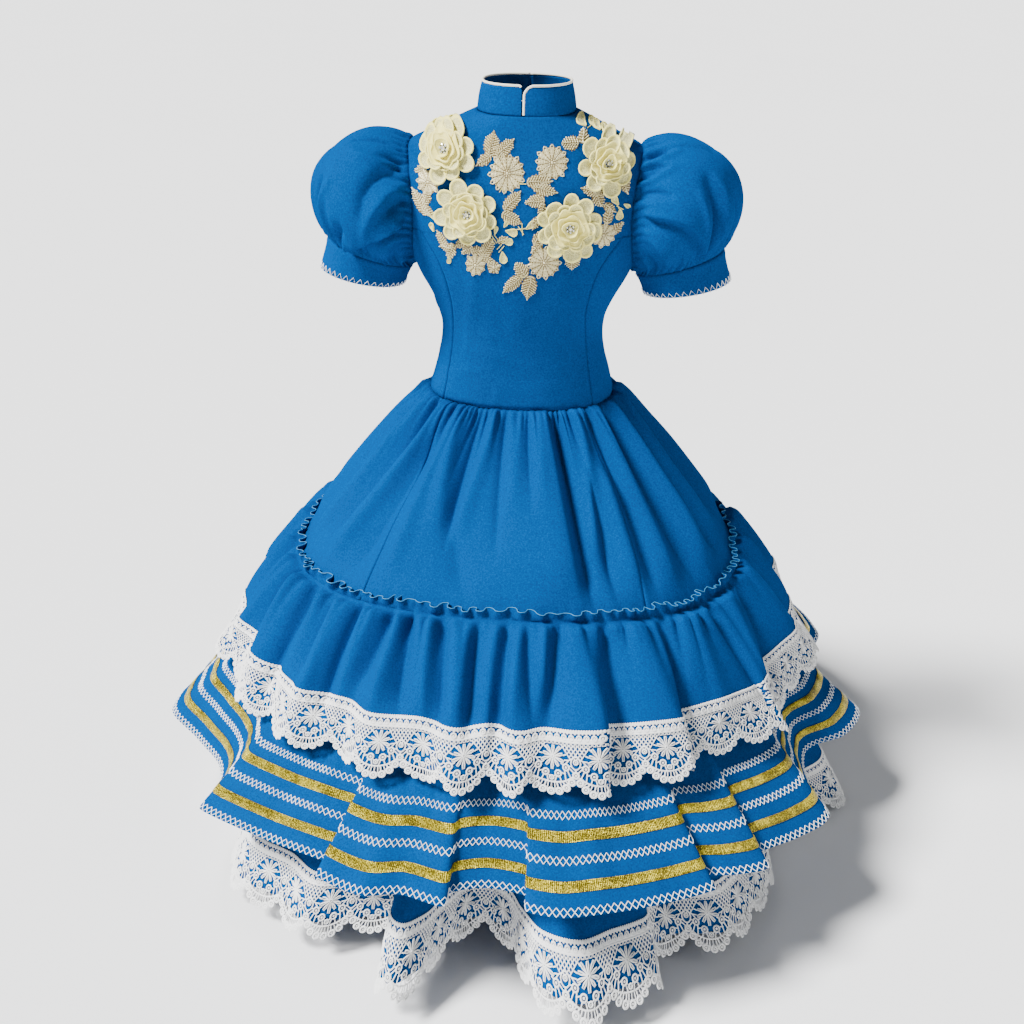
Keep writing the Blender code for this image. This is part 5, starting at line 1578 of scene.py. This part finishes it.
def make_beadwork(chest, beads, ground, loops, net):
    for number, (x, z, reach, petals, turn) in enumerate((*SMALL_FLOWERS, HALF_HIDDEN_FLOWER), 1):
        motif = Motif()
        rim = [math.tau * k / 24 for k in range(24)]
        motif.dome([(x + reach * 0.86 * math.cos(way), z + reach * 0.86 * math.sin(way)) for way in rim],
                   (x, z), 0.4, ground=1)
        add_beaded_flower(motif, x, z, reach, petals, turn)
        piece = finish_trim(f"beaded_bloom_{number}", motif.work, chest, 0.15, beads, ground)
        if number <= len(SMALL_FLOWERS):
            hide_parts(f"beaded_flower_{number}")
    motif = Motif()
    for leaf in SPRAY_LEAVES:
        add_leaf(motif, *leaf)
    piece = finish_trim("beaded_sprays", motif.work, chest, 0.1, beads, ground)
    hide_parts(*(f"beaded_leaf_{number:02d}" for number in range(1, 17)))
    motif = Motif()
    fill = Motif()
    for x, z, turn, length, width in LOOPS:
        way = math.radians(turn)
        motif.petal(x, z, way, 0.0, length, width / 2, 1.15, 1.5, steps=13)
        outline = [(x + along * math.cos(way) - aside * math.sin(way),
                    z + along * math.sin(way) + aside * math.cos(way))
                   for along, aside in spoon(14, 0.5, length - 0.4, width * 0.42)]
        fill.dome(outline, (x + length * 0.55 * math.cos(way), z + length * 0.55 * math.sin(way)), 0.3)
    for x, z, to_x, to_z in STEMS:
        motif.cord(((x, z), ((x + to_x) / 2, (z + to_z) / 2), (to_x, to_z)), 0.8, 1.0)
    finish_trim("corded_loops", motif.work, chest, 0.15, loops)
    finish_trim("netted_loops", fill.work, chest, 0.15, net)


def cream_cloth():
    look = Look("cream_organza", Sheen_Weight=0.3, Specular_IOR_Level=0.3)
    weave = look.mottle(1100.0, 2.0)
    cloud = look.mottle(90.0, 2.0)
    return look.finish(weave, 0.1 * MM,
                       Base_Color=look.blend(cloud * 0.7 + weave * 0.3,
                                             (0.90, 0.79, 0.19), (0.99, 0.93, 0.35)),
                       Roughness=weave * 0.2 + 0.5)


def petal_net():
    look = Look("petal_net", Sheen_Weight=0.2, Specular_IOR_Level=0.25)
    cells = look.node("ShaderNodeTexVoronoi", {"feature": "DISTANCE_TO_EDGE"}, Vector=look.place(),
                      Scale=620.0)
    thread = (cells * -6.0 + 1.15).kept()
    return look.finish(thread, 0.3 * MM,
                       Base_Color=look.blend(thread, (0.60, 0.56, 0.23), (0.98, 0.93, 0.45)),
                       Roughness=thread * -0.1 + 0.65)


def champagne_beads():
    look = Look("champagne_beads", Metallic=0.1, Specular_IOR_Level=0.7, Coat_Roughness=0.15)
    # Beads lighter in small speckles: painted glints, together with the beads' own uneven tone.
    tone_and_glint_speckle = look.mottle(800.0, 1.0)
    cloud = look.mottle(120.0, 2.0)
    tone = (tone_and_glint_speckle * 1.3 - 0.3 + cloud * 0.4).kept()
    return look.finish(tone_and_glint_speckle, 0.15 * MM,
                       Base_Color=look.blend(tone, (0.50, 0.38, 0.13), (0.98, 0.92, 0.58)),
                       Roughness=tone_and_glint_speckle * 0.3 + 0.18, Coat_Weight=0.35)


def bead_ground():
    look = Look("bead_ground", Specular_IOR_Level=0.3)
    thread = look.mottle(1300.0, 3.0)
    return look.finish(thread, 0.3 * MM,
                       Base_Color=look.blend(thread, (0.07, 0.045, 0.014), (0.36, 0.26, 0.10)),
                       Roughness=thread * 0.2 + 0.6)


def rhinestone():
    look = Look("rhinestone", Specular_IOR_Level=1.0, Coat_Roughness=0.03, Coat_Weight=1.0,
                Metallic=0.55)
    # Base colour from grey to near white in Voronoi cells: painted sparkle on the facets. The cells also vary
    # the roughness.
    sparkle_cells = look.node("ShaderNodeTexVoronoi", {}, Vector=look.place(), Scale=900.0)
    return look.finish(Base_Color=look.blend((sparkle_cells * 1.4).kept(), (0.30, 0.32, 0.36), (0.95, 0.96, 0.98)),
                       Roughness=sparkle_cells * 0.15 + 0.05)


# Floor, lights and camera

def make_stage():
    sweep = bmesh.new()
    bmesh.ops.create_grid(sweep, x_segments=2, y_segments=2, size=30.0)
    for vertex in sweep.verts:
        vertex.co.z = FLOOR_HEIGHT
    mesh = bpy.data.meshes.new("floor")
    sweep.to_mesh(mesh)
    sweep.free()
    floor = bpy.data.objects.new("floor", mesh)
    bpy.context.collection.objects.link(floor)
    look = Look("pale_floor", Roughness=0.9, Specular_IOR_Level=0.1)
    cloud = look.mottle(0.6, 2.0)
    mesh.materials.append(look.finish(Base_Color=look.blend(cloud, (0.90, 0.90, 0.90), (0.94, 0.94, 0.94))))


def add_light(name, place, aim, size, power, colour=(1.0, 1.0, 1.0)):
    light = bpy.data.lights.new(name, "AREA")
    light.shape = "RECTANGLE"
    light.size, light.size_y = size
    light.energy = power
    light.color = colour
    lamp = bpy.data.objects.new(name, light)
    lamp.location = place
    lamp.rotation_euler = (Vector(aim) - Vector(place)).to_track_quat("-Z", "Y").to_euler()
    bpy.context.collection.objects.link(lamp)


def make_lights():
    world = bpy.data.worlds.new("pale_studio")
    world.use_nodes = True
    world.node_tree.nodes["Background"].inputs["Color"].default_value = (0.95, 0.97, 1.0, 1.0)
    world.node_tree.nodes["Background"].inputs["Strength"].default_value = 0.24
    bpy.context.scene.world = world
    key = bpy.data.lights.new("key", "SUN")
    key.energy = 10.6
    key.angle = math.radians(16)
    lamp = bpy.data.objects.new("key", key)
    lamp.rotation_euler = Vector((0.74, 0.27, -0.99)).to_track_quat("-Z", "Y").to_euler()
    bpy.context.collection.objects.link(lamp)
    add_light("side", (2.4, -1.2, 1.2), (0, 0, -0.3), (0.9, 1.6), 13, (0.93, 0.96, 1.0))


CAMERA_DISTANCE = 1.318
CAMERA_HEIGHT = 0.2257
CAMERA_SIDE = 4.0
CAMERA_PITCH = 26.6
CAMERA_ROLL = -0.95
CAMERA_YAW = 0.37
FOCAL_PIXELS = 1232


def make_camera():
    side = math.radians(CAMERA_SIDE)
    place = Vector((CAMERA_DISTANCE * math.sin(side), -CAMERA_DISTANCE * math.cos(side),
                    CAMERA_HEIGHT))
    camera = bpy.data.objects.new("camera", bpy.data.cameras.new("camera"))
    camera.data.sensor_width = 36.0
    camera.data.lens = 36.0 * FOCAL_PIXELS / 1024
    camera.data.clip_start = 0.05
    turn = (Matrix.Rotation(side + math.radians(CAMERA_YAW), 4, "Z")
            @ Matrix.Rotation(math.radians(90 - CAMERA_PITCH), 4, "X")
            @ Matrix.Rotation(-math.radians(CAMERA_ROLL), 4, "Z"))
    camera.matrix_world = Matrix.Translation(place) @ turn
    bpy.context.collection.objects.link(camera)
    bpy.context.scene.camera = camera


def main():
    cloth = gabardine()
    thread = zigzag_thread()
    lace = lace_cotton()
    make_camera()
    make_lights()
    make_stage()
    chest = Chest(make_bodice(cloth))
    make_collar(cloth, cream_piping())
    make_sleeves(cloth, thread)
    make_skirt_top(cloth)
    make_upper_flounce(cloth, overlock_thread(), lace)
    make_under_layer(cloth)
    make_ribboned_flounce(cloth, gold_lurex(), thread)
    make_lower_flounce(cloth, lace)
    cream, net, beads = cream_cloth(), petal_net(), champagne_beads()
    make_big_flowers(chest, cream, net, rhinestone())
    make_beadwork(chest, beads, bead_ground(), cream, net)


main()
